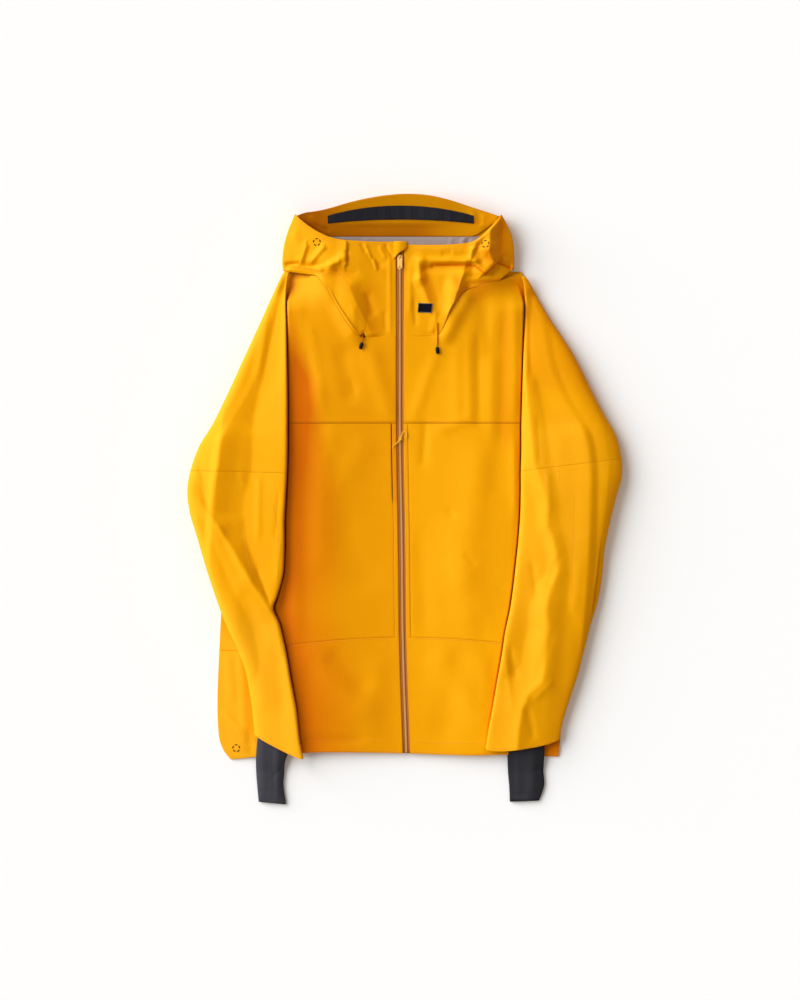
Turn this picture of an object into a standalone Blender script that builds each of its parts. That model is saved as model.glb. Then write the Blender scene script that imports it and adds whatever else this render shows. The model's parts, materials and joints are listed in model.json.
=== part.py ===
"""Hooded shell jacket laid on its back, front up, as closed solids for its sewn pieces.

X runs across the chest (the picture's right is +X), Y runs from the hem to the hood and
Z is up from the surface that the jacket lies on. Sizes and places are in millimetres and
become metres when a mesh is made. The cloth's shape is given by a few height functions;
each piece is a wall worked out on a grid between its own edges.
"""

import math

import bpy
import numpy as np
from mathutils import Vector
from mathutils.bvhtree import BVHTree

# Driving sizes, millimetres
CLOTH = 1.5               # wall of the outer shell
THIN_CLOTH = 1.1          # facing, lining, zip tape
SEAM_GAP = 0.3            # space left between neighbouring pieces
LAYER_GAP = 1.2           # space left where one layer lies on another
HALF_ZIP_SLOT = 5.9       # half the width that the zip shows between the fronts
NECK_Y = 260.5            # neck seam at the zip
CHEST_SEAM_Y = 122.0
ARMPIT_Y = 104.0
ARMPIT_RUN = 26.0         # stretch over which the under sleeve comes down to the back
LOWER_SEAM_Y = -219.5
LOWER_SEAM_DROP = 13.0    # how far that seam drops at the side of the chest
PLACKET_WIDTH = 6.8
POCKET_SLOT = 1.6         # the front pocket's mouth beside the left placket
SLOT_END_Y = -8.0
UNDER_SLEEVE_Z = 4.0      # height of the front's cloth where a sleeve lies on it
FLANK_OUT = 203.0         # the front starts to rise at this distance from the middle
FLANK_RUN = 84.0
POUCH_HEIGHT = 8.0        # folded hood under the back
BACK_LIFT = 8.7
BACK_LIFT_Y = 236.0
BACK_LIFT_RUN = 40.0
BACK_LIFT_HALF = 186.0
SHOULDER_Y = 366.0
LINING_TOP_Y = 421.5
LINING_LOW_Y = 386.0
CROWN_FOOT_Y = 398.0
ARC_Z = 42.0              # brim edge at its middle
ARC_CORNER_Z = 31.0
UNDER_FOLD = 5.0          # rounding radius of a sleeve's fold at the underside
FOLD_SQUARE = 0.85        # how far a flat tube's section is squared off towards its folds
ARMHOLE_CLEAR = 2.2       # from the armhole's edge to the sleeve's own edges
SEAM_SHARE = 0.2          # underarm seam's place across a sleeve, from the inner fold
CORD_EXIT = 6.4           # opening left in the neck seam where the left cord comes out
CORD_EXIT_ROW = 3
SLIDER_Y = 388.0
TAB_LENGTH = 19.5
TAB_WIDTH = 7.8
TAB_THICK = 1.2
CORD_WIDTH = 1.8
TOGGLE_LENGTH = 11.5
TOGGLE_WIDTH = 6.4
CORD_LIFT = 0.5 * CORD_WIDTH + 0.5   # from the cloth's top to a cord's middle
TOGGLE_LIFT = np.array([0.0, 0.0, 1.4])
TOGGLE_GAP = 0.8          # from a cord's end to its toggle
LABEL_THICK = 0.9
LABEL_LIFT = 0.5 * LABEL_THICK + 0.5

SIDES = ("left", "right")
OUTWARD = {"left": -1.0, "right": 1.0}


def table(names, *rows):
    """Named columns from rows."""
    return {name: np.array(column, float) for name, column in zip(names.split(), zip(*rows))}


BODY_EDGE = {
    "left": table(
        "y x",
        (-416, -279), (-400, -291), (-376, -298), (-320, -300), (-240, -297), (-181, -294),
        (-96, -289), (32, -279), (80, -274), (104, -267), (128, -254), (150, -240),
        (175, -226), (200, -215), (240, -204), (300, -197), (352, -190), (368, -184)),
    "right": table(
        "y x",
        (-414, 246), (-381, 250), (-320, 254), (-240, 261), (-160, 267), (-80, 272),
        (32, 275), (80, 271), (104, 265), (128, 253), (150, 239), (175, 226),
        (200, 215), (240, 205), (300, 199), (346, 194), (362, 190), (368, 186)),
}
HEM = table("x y", (-300, -417), (-279, -416), (-228, -411), (-162, -405), (-103, -404),
            (1, -406), (103, -409), (162, -408), (226, -411), (260, -411))
ZIP_LINE = table("y x", (-406, 3), (-378, 2.4), (-235, -2.4), (-64, -4.3), (96, -7),
                 (250, -7.2), (412, -7.2))
PUFF = table("y z", (-414, 9), (-380, 12), (-300, 16), (-150, 19), (0, 20), (122, 21.5),
             (200, 24), (247, 27.5), (300, 31), (350, 34.5), (390, 37), (412, 38))
NECK_SEAM = {
    "left": table("x y", (-40, 260.2), (-60, 259.2), (-66.5, 259.4), (-73, 262.5), (-83, 272),
                  (-96, 290), (-108, 310), (-119, 331), (-130, 346), (-141, 358)),
    "right": table("x y", (20, 260.8), (46, 262), (53, 262.8), (59, 268), (66, 282), (74, 303),
                   (85, 321), (98, 334), (121, 342), (148, 349)),
}
BACK_TOP = table(         # top edge of the back: shoulders, and the neck seam between them
    "x y", (-184.7, 366), (-156, 366), (-132, 351), (-108, 338), (-80, 332), (-48, 330), (-16, 330),
    (16, 330), (48, 330), (78, 332), (103, 338), (124, 351), (156, 366), (186.6, 366))
HOOD_FOLD_EDGE = {        # lower fold of the hood's side, from the neck seam to the outline
    "left": table("x y z", (-154, 360.5, 27), (-167, 362.5, 24), (-180, 364.5, 21),
                  (-193, 367, 17)),
    "right": table("x y z", (155, 354, 25), (162, 360, 23), (168, 365, 20), (173.5, 369, 17)),
}
HOOD_OUTLINE = {          # from the lower fold to the corner of the face opening
    "left": table("x y z", (-193, 367, 17), (-194, 384, 19), (-191, 409, 23),
                  (-184, 432, 28), (-174, 456, 33)),
    "right": table("x y z", (173.5, 369, 17), (174, 392, 20), (171, 418, 25),
                   (163, 439, 29), (154, 455, 33)),
}
FACE_EDGE = {             # front edge of collar and hood, from the zip to that corner
    "left": table("x y z", (-14, 412, 38), (-40, 412, 39), (-68, 413, 40.5), (-98, 415, 41.5),
                  (-118, 419, 41.5), (-134, 426, 40.5), (-151, 436, 38), (-166, 448, 35.5),
                  (-174, 456, 33)),
    "right": table("x y z", (-0.5, 408, 38), (24, 407, 39), (52, 407, 40), (80, 408, 41),
                   (102, 410.5, 41), (114, 415, 40), (126, 424, 38.5), (140, 438, 36),
                   (154, 455, 33)),
}
HOOD_INSIDE = {           # side edges of the hood's crown
    "left": table("y x", (351, -132), (400, -146), (430, -159), (454, -170)),
    "right": table("y x", (351, 124), (400, 134), (430, 143), (452, 150)),
}
BRIM_ARC = table("x y", (-172.5, 454), (-158, 459), (-142, 461), (-118, 466), (-94, 473),
                 (-60, 481), (-28, 486), (4, 488.2), (38, 486), (70, 479), (99, 470),
                 (118, 464), (134, 459), (152.5, 452.5))
# Sleeve rows from the head to the cuff: outer fold, inner fold and height of the tube
SLEEVE = {
    "left": table(
        "out_x out_y in_x in_y rise",
        (-192, 367, -168, 365, 10), (-199, 354, -180, 351, 14), (-216, 318, -190, 317, 20),
        (-228, 291, -189, 284, 25), (-255, 232, -188, 226, 31), (-282, 173, -187, 164, 35),
        (-307, 122, -187, 114, 37), (-329, 86, -187, 82, 38), (-343, 47, -188, 43, 38),
        (-348, 14, -190, 4, 38), (-344, -20, -192, -34, 37), (-334, -54, -192, -76, 36),
        (-321, -98, -194, -117, 35), (-308, -138, -203, -152, 34), (-293, -181, -210, -174, 34),
        (-280, -212, -200, -198, 33), (-265, -244, -190, -240, 32), (-254, -276, -182, -286, 31),
        (-246, -320, -173, -335, 28), (-242, -352, -168, -382, 26), (-240, -375, -162, -414, 24)),
    "right": table(
        "out_x out_y in_x in_y rise",
        (191, 357, 176, 354, 10), (201, 347, 186, 342, 14), (217, 318, 193, 315, 20),
        (236, 286, 192, 280, 26), (270, 234, 190, 226, 32), (302, 171, 188, 162, 35),
        (322, 133, 187, 118, 37), (339, 103, 187, 84, 38), (348, 66, 186, 46, 38),
        (348, 36, 186, 14, 38), (339, 4, 185, -26, 37), (328, -42, 182, -66, 36),
        (320, -84, 178, -104, 35), (317, -120, 174, -139, 34), (310, -162, 169, -174, 34),
        (299, -198, 161, -212, 33), (288, -240, 156, -246, 32), (277, -282, 149, -286, 30),
        (262, -327, 142, -327, 28), (252, -362, 135, -366, 26), (249, -381, 130, -398, 24)),
}
ELBOW_ROW = 8
CUFF_BOW = {"left": 4.0, "right": 9.0}
# Gaiter rows, from inside the cuff to its own end: the two folds, underside and height
GAITER = {
    "left": table("out_x in_x out_y in_y low rise", (-229, -178, -345, -361, 9.5, 9),
                  (-235, -184, -378, -396, 9.5, 9), (-238, -191, -412, -418, 6, 9),
                  (-238, -193, -436, -438, 0, 9), (-236, -194, -462, -458, 0, 8),
                  (-234, -190, -484, -488.2, 0, 7)),
    "right": table("out_x in_x out_y in_y low rise", (222, 168, -350, -352, 9.5, 9),
                   (225, 166, -384, -388, 9.5, 9), (224, 165, -410, -412, 6, 9),
                   (223, 166, -434, -436, 0, 9), (224, 168, -458, -460, 0, 8),
                   (216, 169, -482, -484, 0, 7)),
}
# Largest folds of front and collar: a line, the fold's half width and its height
BODY_FOLDS = table(
    "x1 y1 x2 y2 width height",
    (-131, 350, -84, 272, 13, 5.0), (-96, 300, -74, 262, 12, 4.0), (-160, 340, -150, 200, 16, -2.5),
    (97, 322, 66, 262, 12, 4.5), (60, 350, 66, 300, 14, 4.0), (126, 318, 140, 240, 16, -2.5),
    (30, 352, 24, 312, 10, -3.0), (-130, 90, -138, -90, 22, 2.0), (118, 60, 96, -120, 24, 2.0),
    (-150, -250, -70, -330, 24, 2.2), (60, -260, 120, -350, 22, 2.0))
HOOD_FOLDS = table(
    "x1 y1 x2 y2 width height",
    (-186, 372, -128, 374, 7, -4.0), (-120, 372, -96, 388, 8, 3.5), (112, 380, 30, 383, 6, 4.0),
    (108, 370, 34, 370, 6, -4.5), (134, 376, 124, 398, 9, 4.0), (-60, 400, -40, 376, 7, -2.0))
SLEEVE_FOLDS = {
    "left": table("x1 y1 x2 y2 width height", (-332, 2, -214, -168, 13, 6.0),
                  (-300, -20, -206, -120, 12, -5.0), (-292, 100, -236, 60, 16, -3.0),
                  (-226, -190, -196, -330, 13, 3.5), (-262, 190, -226, 90, 15, 2.5)),
    "right": table("x1 y1 x2 y2 width height", (330, -10, 240, -120, 14, 5.0),
                   (300, -30, 210, -110, 13, -4.5), (286, 120, 232, 74, 16, -3.0),
                   (236, -170, 210, -330, 14, 3.5), (262, 180, 226, 90, 15, 2.5)),
}
# Left cord: its plan and its height over the front's cloth, from inside the collar to the toggle
LEFT_CORD = table("x y lift", (-55.2, 286.8, -9), (-58.2, 280.8, -9), (-61.2, 274.8, -8.2),
                  (-63.7, 269.8, -6.2), (-65.5, 266, -3.3), (-66.4, 263.2, -0.6),
                  (-66.9, 260.9, 1.7), (-67, 258.6, 3), (-67, 252.6, 2.9))
LEFT_TOGGLE_TURN = (-0.32, -1.0, -0.1)
RIGHT_CORD_PLAN = table("x y", (52.4, 284), (52.5, 277), (52.6, 270), (52.6, 263), (52.5, 257),
                        (52.3, 251), (52, 245.5))
RIGHT_TOGGLE_TURN = (0.13, -1.0, -0.06)
POCKET_CORD_PLAN = table("x y", (-20, 84), (-17, 87), (-13, 90.5), (-9, 94), (-6.4, 98),
                         (-4.8, 102.5), (-3.2, 107), (0, 109.3), (3.2, 107.4), (3.4, 103),
                         (2.4, 98.5))
LABEL_EDGES = {"low": np.array([[20.8, 299.6], [43.6, 298.6]]),
               "high": np.array([[22.1, 314.6], [44.9, 313.6]])}


def step(value):
    """Smooth rise from 0 to 1 as the value goes from 0 to 1."""
    value = np.clip(value, 0.0, 1.0)
    return value * value * (3.0 - 2.0 * value)


def spline(column, at):
    """Catmull-Rom curve through a column, read at row numbers that may lie between rows."""
    at = np.clip(np.asarray(at, float), 0.0, len(column) - 1.0)
    row = np.minimum(at.astype(int), len(column) - 2)
    part = at - row
    ends = np.concatenate(([2 * column[0] - column[1]], column, [2 * column[-1] - column[-2]]))
    a, b, c, d = (ends[row + i] for i in range(4))
    return b + 0.5 * part * (c - a + part * (2 * a - 5 * b + 4 * c - d + part * (3 * (b - c) + d - a)))


def curve(columns, names, at):
    """Points on the smooth curve through a table's rows, one column for each name."""
    return np.stack([spline(columns[name], at) for name in names.split()], axis=-1)


def read(columns, key, value, want):
    """Value of one column where another, rising one has the given value."""
    rows = np.linspace(0, len(columns[key]) - 1, 12 * len(columns[key]))
    return np.interp(value, spline(columns[key], rows), spline(columns[want], rows))


def even(points, count):
    """The same path with evenly spaced points."""
    length = np.concatenate(([0.0], np.cumsum(np.linalg.norm(np.diff(points, axis=0), axis=1))))
    at = np.linspace(0.0, length[-1], count)
    return np.stack([np.interp(at, length, points[:, i]) for i in range(points.shape[1])], axis=-1)


def fold_height(folds, x, y):
    """Soft ridges and troughs: each a bell across its line, fading past the line's ends."""
    total = np.zeros_like(np.asarray(x, float) + y)
    for x1, y1, x2, y2, width, height in zip(*folds.values()):
        along = ((x - x1) * (x2 - x1) + (y - y1) * (y2 - y1)) / ((x2 - x1) ** 2 + (y2 - y1) ** 2)
        along = np.clip(along, 0.0, 1.0)
        away = np.hypot(x - x1 - along * (x2 - x1), y - y1 - along * (y2 - y1))
        total = total + height * np.exp(-(away / width) ** 2)
    return total


# The cloth's heights

def body_edge(y, side):
    return read(BODY_EDGE[side], "y", y, "x")


def zip_x(y):
    return read(ZIP_LINE, "y", y, "x")


def back_height(x, y):
    """Flat on the surface, raised where the folded hood lies under it."""
    lift = step((y - BACK_LIFT_Y) / BACK_LIFT_RUN) * step((BACK_LIFT_HALF - abs(x)) / BACK_LIFT_RUN)
    return 0.5 * CLOTH + BACK_LIFT * lift


def front_height(x, y):
    """Low at the side seams and under the sleeves, raised over the chest, with its folds."""
    inside = np.minimum(body_edge(y, "right") - x, x - body_edge(y, "left"))
    edge = 1.5 * CLOTH + SEAM_GAP
    low = edge + (UNDER_SLEEVE_Z - edge) * step(inside / 30.0)
    chest = step((FLANK_OUT - abs(x)) / FLANK_RUN)
    shoulder = step((SHOULDER_Y + 2.0 - y) / 18.0) + (1.0 - step((abs(x) - 140.0) / 14.0))
    height = low + (read(PUFF, "y", y, "z") - low) * chest + chest * fold_height(BODY_FOLDS, x, y)
    rolled = back_height(x, y) + CLOTH + 2.5 * SEAM_GAP
    return rolled + (height - rolled) * np.clip(shoulder, 0.0, 1.0)


def arc_y(x):
    return read(BRIM_ARC, "x", x, "y")


def crown_height(x, y):
    """Bottom of the hood's hollow, climbing to the brim's edge."""
    corner = step((abs(x + 10.0) - 60.0) / 105.0)
    edge = ARC_Z + (ARC_CORNER_Z - ARC_Z) * corner
    climb = np.clip((y - CROWN_FOOT_Y) / (arc_y(x) - CROWN_FOOT_Y), 0.0, 1.0) ** 1.25
    floor = back_height(0.0, SHOULDER_Y) + 0.6 * step((y - 340.0) / 50.0)
    return floor + (edge - floor) * climb


def support(x, y, side):
    """Lowest place for a sleeve: the surface, or the front where it lies on the body."""
    y = np.clip(y, -402.0, None)
    outside = OUTWARD[side] * (x - body_edge(y, side))
    over = front_height(np.where(outside > 0, body_edge(y, side), x), y) + 0.5 * CLOTH + LAYER_GAP
    over = over + 2.5 * step((y - 320.0) / 30.0)
    return over * (1.0 - step((outside - 20.0) / 16.0))


# Meshes

def finish(name, verts, faces, material, smooth=True):
    mesh = bpy.data.meshes.new(name)
    mesh.from_pydata((np.asarray(verts, float) * 0.001).tolist(), [], faces)
    mesh.update()
    part = bpy.data.objects.new(name, mesh)
    bpy.context.scene.collection.objects.link(part)
    mesh.materials.append(material)
    if smooth:
        mesh.shade_smooth()
        mesh.set_sharp_from_angle(angle=math.radians(40))
    return part


def wall(name, outer, inner, material):
    """Closed wall between an outer and an inner grid of points of the same size."""
    rows, cols = outer.shape[:2]
    index = np.arange(rows * cols).reshape(rows, cols)
    under = index + rows * cols
    quads = np.stack([index[:-1, :-1], index[:-1, 1:], index[1:, 1:], index[1:, :-1]], -1)
    back = quads[..., ::-1] + rows * cols
    rim = np.concatenate([index[0, :-1], index[:-1, -1], index[-1, :0:-1], index[:0:-1, 0]])
    low = np.concatenate([under[0, :-1], under[:-1, -1], under[-1, :0:-1], under[:0:-1, 0]])
    side = np.stack([rim, low, np.roll(low, -1), np.roll(rim, -1)], -1)
    faces = np.concatenate([quads.reshape(-1, 4), back.reshape(-1, 4), side])
    a, b, c = (outer[0, 0], outer[0, 1], outer[1, 0])
    up = outer[0, 0] - inner[0, 0]
    if np.dot(np.cross(b - a, c - a), up) < 0:
        faces = faces[:, ::-1]
    return finish(name, np.concatenate([outer.reshape(-1, 3), inner.reshape(-1, 3)]),
                  faces.tolist(), material)


def lying(name, x, y, z, thickness, material):
    """A piece that lies flat or nearly so: its wall is measured straight up."""
    middle = np.stack(np.broadcast_arrays(x, y, z), axis=-1).astype(float)
    lift = np.array([0.0, 0.0, 0.5 * thickness])
    return wall(name, middle + lift, middle - lift, material)


def between(rows, across, low, high, side_low, side_high):
    """Plan of a panel between two seams (y as functions of x) and two edges (x of y).

    Each row's ends lie on the edges, and the columns share the width between them.
    """
    across = np.asarray(across, float)[None, :]
    along = np.linspace(0.0, 1.0, rows)[:, None]
    ends = []
    for edge in (side_low, side_high):
        x = edge(0.0) + 0.0 * along
        for _ in range(20):
            x = edge(low(x) + (high(x) - low(x)) * along)
        ends.append(x)
    x = ends[0] + (ends[1] - ends[0]) * across
    return x, low(x) + (high(x) - low(x)) * along


def four_sided(bottom, top, first, last):
    """Coons patch: a surface between four edge paths, bottom and top running from first to last."""
    across = np.linspace(0.0, 1.0, len(bottom))[None, :, None]
    along = np.linspace(0.0, 1.0, len(first))[:, None, None]
    rows = (1 - along) * bottom[None] + along * top[None]
    cols = (1 - across) * first[:, None] + across * last[:, None]
    corners = ((1 - along) * ((1 - across) * bottom[0] + across * bottom[-1])
               + along * ((1 - across) * top[0] + across * top[-1]))
    return rows + cols - corners


def tube_curve(name, points, width, material):
    """A cord along a smooth path."""
    data = bpy.data.curves.new(name, "CURVE")
    data.dimensions = "3D"
    data.bevel_depth = 0.5 * width * 0.001
    data.bevel_resolution = 2
    data.use_fill_caps = True
    path = data.splines.new("POLY")
    path.points.add(len(points) - 1)
    for point, place in zip(path.points, points):
        point.co = (*(place * 0.001), 1.0)
    data.materials.append(material)
    part = bpy.data.objects.new(name, data)
    bpy.context.scene.collection.objects.link(part)
    return part


def material(name, colour, roughness, metallic=0.0):
    made = bpy.data.materials.new(name)
    made.use_nodes = True
    shader = made.node_tree.nodes["Principled BSDF"]
    shader.inputs["Base Color"].default_value = (*colour, 1.0)
    shader.inputs["Roughness"].default_value = roughness
    shader.inputs["Metallic"].default_value = metallic
    return made


# Body

def lower_seam(x):
    return LOWER_SEAM_Y - LOWER_SEAM_DROP * np.minimum(abs(x) / 190.0, 1.3) ** 2


def hem(x):
    return read(HEM, "x", x, "y")


def front_panel(name, side, low, high, edge_in, rows, cols, cloth):
    """A front panel from the side seam to edge_in, between two cross seams."""
    def inner(y):
        return zip_x(y) + OUTWARD[side] * edge_in(y)

    x, y = between(rows, np.linspace(0.0, 1.0, cols), low, high,
                   lambda at: body_edge(at, side), inner)
    return lying(name, x, y, front_height(x, y), CLOTH, cloth)


def make_fronts(cloth):
    half = 0.5 * SEAM_GAP
    for side in SIDES:
        def zip_edge(y):
            return HALF_ZIP_SLOT + 0.0 * y

        def placket_edge(y, side=side):
            mouth = POCKET_SLOT * step((y - SLOT_END_Y) / 12.0) if side == "left" else 0.0
            return HALF_ZIP_SLOT + PLACKET_WIDTH + SEAM_GAP + mouth

        front_panel(f"front_lower_{side}", side, hem, lambda x: lower_seam(x) - half,
                    zip_edge, 7, 10, cloth)
        front_panel(f"front_middle_{side}", side, lambda x: lower_seam(x) + half,
                    lambda x: CHEST_SEAM_Y - half + 0.0 * x, placket_edge, 12, 10, cloth)
        y = np.linspace(LOWER_SEAM_Y + half, CHEST_SEAM_Y - half, 14)[:, None]
        reach = HALF_ZIP_SLOT + PLACKET_WIDTH * np.array([[0.0, 1.0]])
        x = zip_x(y) + OUTWARD[side] * reach
        lying(f"placket_{side}", x, y + 0.0 * x, front_height(x, y), CLOTH, cloth)


def neck_path(side, outward_shift):
    """Neck seam from the zip to the fold of the hood, moved square to itself."""
    start = [[zip_x(NECK_Y) + OUTWARD[side] * HALF_ZIP_SLOT, NECK_Y]]
    seam = NECK_SEAM[side]
    points = np.concatenate([start, np.column_stack([seam["x"], seam["y"]])])
    along = np.gradient(points, axis=0)
    along /= np.linalg.norm(along, axis=1)[:, None]
    square = np.stack([along[:, 1], -along[:, 0]], -1) * OUTWARD[side] * -1.0
    shift = np.full(len(points), outward_shift)
    if side == "left" and outward_shift > 0:
        shift[CORD_EXIT_ROW] += CORD_EXIT
    return points + square * shift[:, None]


def make_yokes(cloth):
    half = 0.5 * SEAM_GAP
    panels = {}
    for side in SIDES:
        out = OUTWARD[side]
        neck = neck_path(side, -half)
        zip_rows = np.linspace(CHEST_SEAM_Y + half, NECK_Y - half, 5)[:-1]
        zip_edge = np.stack([zip_x(zip_rows) + out * HALF_ZIP_SLOT, zip_rows], -1)
        inner = np.concatenate([zip_edge, neck])
        share = np.linspace(0.0, 1.0, len(inner)) ** 0.9
        arm_y = CHEST_SEAM_Y + half + (SHOULDER_Y - CHEST_SEAM_Y - half) * share
        outer = np.stack([body_edge(arm_y, side), arm_y], -1)
        across = np.linspace(0.0, 1.0, 10)[None, :, None]
        plan = (1 - across) * outer[:, None] + across * inner[:, None]
        x, y = plan[..., 0], plan[..., 1]
        panels[f"front_upper_{side}"] = lying(f"front_upper_{side}", x, y, front_height(x, y),
                                              CLOTH, cloth)
    return panels


def back_top(x):
    """Shoulders and, between them, the neck seam."""
    return np.interp(x, BACK_TOP["x"], BACK_TOP["y"])


def make_back(cloth):
    across = (BACK_TOP["x"] - BACK_TOP["x"][0]) / (BACK_TOP["x"][-1] - BACK_TOP["x"][0])
    x, y = between(20, across, hem, back_top,
                   lambda at: body_edge(at, "left"), lambda at: body_edge(at, "right"))
    lying("back", x, y, back_height(x, y), CLOTH, cloth)


# Sleeves and gaiters

def fold_angle(share):
    """Angle at which a tube's section has gone the given share of the way from its inner fold."""
    across = 1.0 - 2.0 * share
    return np.arccos(np.sign(across) * abs(across) ** (1.0 / FOLD_SQUARE))


def flat_tube(out, inn, angles, thickness, rise, under):
    """Section points of a tube laid flat, and the wall's inner points.

    The angle runs from the seam on the underside round the inner fold, over the top, round
    the outer fold and back to the seam. Across is a cosine squared off towards the folds.
    """
    cosine = np.sign(np.cos(angles)) * abs(np.cos(angles)) ** FOLD_SQUARE
    sine = np.sign(np.sin(angles)) * abs(np.sin(angles)) ** 0.75
    half = 0.5 * np.linalg.norm(out - inn, axis=-1)[:, None]
    middle = 0.5 * (out + inn)[:, None]
    toward = ((inn - out) / np.linalg.norm(inn - out, axis=-1)[:, None])[:, None]
    grids = []
    for depth in (0.0, thickness):
        plan = middle + toward * (cosine * (half - depth))[..., None]
        height = np.where(sine > 0, (rise - under) - depth, under - depth)
        grids.append((plan, height * sine))
    return grids


def sleeve_rows(side, first, last, count):
    rows = np.linspace(first, last, count)
    data = SLEEVE[side]
    out = curve(data, "out_x out_y", rows)
    inn = curve(data, "in_x in_y", rows)
    return rows, out, inn, spline(data["rise"], rows)[:, None]


def make_sleeve(name, side, first, last, count, cols, cloth):
    """One sheet round the arm: its own edges meet at the underarm seam, and above the
    armpit they part, one to the front's armhole and one to the back's."""
    sign = OUTWARD[side]
    rows, out, inn, rise = sleeve_rows(side, first, last, count)
    width = sign * (out - inn)[:, 0]
    level = 0.5 * (out + inn)[:, 1]
    at_edge = 0.5 + 0.0 * level
    for _ in range(8):
        at_edge = sign * (body_edge(inn[:, 1] + (out - inn)[:, 1] * at_edge, side) - inn[:, 0]) / width
    level = inn[:, 1] + (out - inn)[:, 1] * at_edge
    low_share = SEAM_SHARE + (0.58 - SEAM_SHARE) * step((level + 60.0) / (ARMPIT_Y + 60.0))
    above = step((level - ARMPIT_Y + 14.0) / 14.0)
    share = low_share + (at_edge - low_share) * above
    clear = (0.5 * SEAM_GAP + ARMHOLE_CLEAR * above) / width
    first = fold_angle(np.clip(share - clear, 0.06, 0.94))
    final = fold_angle(np.clip(share + clear, 0.06, 0.94))
    turn = np.linspace(0.0, 1.0, cols)[None, :]
    angles = -first[:, None] + (2 * math.pi - final + first)[:, None] * turn
    grids = flat_tube(out, inn, angles, CLOTH, rise, UNDER_FOLD)
    climb = 1.0 - step((level - ARMPIT_Y + 4.0) / ARMPIT_RUN) * (1.0 - step((level - 322.0) / 20.0))
    cuff = step((rows - last + 3.0) / 3.0) if last > ELBOW_ROW else 0.0 * rows
    made = []
    for plan, height in grids:
        x, y = plan[..., 0], plan[..., 1]
        ground = support(x, y, side)
        past = step(angles / math.pi)
        ground = ground * (1.0 + (climb[:, None] - 1.0) * past)
        crease = fold_height(SLEEVE_FOLDS[side], x, y) * np.clip(np.sin(angles), 0.0, 1.0)
        bow = CUFF_BOW[side] * cuff[:, None] * np.sin(angles).clip(0, 1)
        made.append(np.stack([x, y - bow, ground + UNDER_FOLD + height + crease], -1))
    return wall(name, made[0], made[1], cloth)


def make_gaiter(side, cloth):
    data = GAITER[side]
    rows = np.linspace(0, len(data["low"]) - 1, 7)
    out = curve(data, "out_x out_y", rows)
    inn = curve(data, "in_x in_y", rows)
    rise = spline(data["rise"], rows)[:, None]
    low = np.maximum(spline(data["low"], rows), 0.0)[:, None]
    under = 0.42 * rise
    angles = np.linspace(-0.9, 2 * math.pi - 0.93, 16)[None, :] + 0.0 * rise
    made = [np.stack([plan[..., 0], plan[..., 1], low + under + height], -1)
            for plan, height in flat_tube(out, inn, angles, THIN_CLOTH, rise, under)]
    return wall(f"gaiter_{side}", made[0], made[1], cloth)


# Hood

def make_hood_side(side, cloth):
    """Hood side and collar in one, tucked under at the outline."""
    neck = neck_path(side, 0.5 * SEAM_GAP)
    neck = np.column_stack([neck, front_height(neck[:, 0], neck[:, 1])])
    fold = HOOD_FOLD_EDGE[side]
    lower = curve(fold, "x y z", np.linspace(0, 3, 5))
    bottom = np.concatenate([neck, lower])
    face = FACE_EDGE[side]
    top = even(curve(face, "x y z", np.linspace(0, len(face["x"]) - 1, 60)), len(bottom))
    rows = 10
    zip_rows = np.linspace(bottom[0, 1], top[0, 1], rows)
    first = np.column_stack([np.interp(zip_rows, zip_rows[[0, -1]], [bottom[0, 0], top[0, 0]]),
                             zip_rows, read(PUFF, "y", zip_rows, "z")])
    outline = HOOD_OUTLINE[side]
    last = even(curve(outline, "x y z", np.linspace(0, 4, 40)), rows)
    patch = four_sided(bottom, top, first, last)
    x, y = patch[..., 0], patch[..., 1]
    inside = step(np.linspace(0, 1, rows) * 5.0)[:, None] * step(np.linspace(1, 0, rows) * 4.0)[:, None]
    patch[..., 2] += inside * fold_height(HOOD_FOLDS, x, y)
    tuck = [patch]
    for inward, height in ((-1.0, 0.62), (3.5, 0.3), (9.0, 0.16)):
        edge = patch[:, -1:].copy()
        edge[..., 0] -= OUTWARD[side] * inward
        edge[..., 2] = np.maximum(edge[..., 2] * height, 1.6)
        tuck.append(edge)
    sheet = np.concatenate(tuck, axis=1)
    normal = np.cross(np.gradient(sheet, axis=1), np.gradient(sheet, axis=0))
    normal /= np.linalg.norm(normal, axis=-1)[..., None]
    normal *= np.sign(normal[2, 3, 2])
    upright = np.zeros(sheet.shape[:2])
    upright[0, :-4] = 1.0
    upright[:, 0] = 1.0
    normal = normal * (1 - upright[..., None]) + np.array([0.0, 0.0, 1.0]) * upright[..., None]
    return wall(f"hood_side_{side}", sheet + 0.5 * CLOTH * normal, sheet - 0.5 * CLOTH * normal, cloth)


def collar_height(x, y):
    """Height of the collar near the zip."""
    return read(PUFF, "y", y, "z") + 0.0 * x


def hood_inside_edge(y, side):
    """Side edge of crown and facing, kept inside the hood's sides."""
    return np.interp(y, HOOD_INSIDE[side]["y"], HOOD_INSIDE[side]["x"])


def hood_sheet(name, low, high, lift, thickness, rows, cloth):
    seam = BACK_TOP["x"][2:-2]
    x, y = between(rows, (seam - seam[0]) / (seam[-1] - seam[0]), low, high,
                   lambda at: hood_inside_edge(at, "left"), lambda at: hood_inside_edge(at, "right"))
    return lying(name, x, y, crown_height(x, y) + lift, thickness, cloth)


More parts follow.
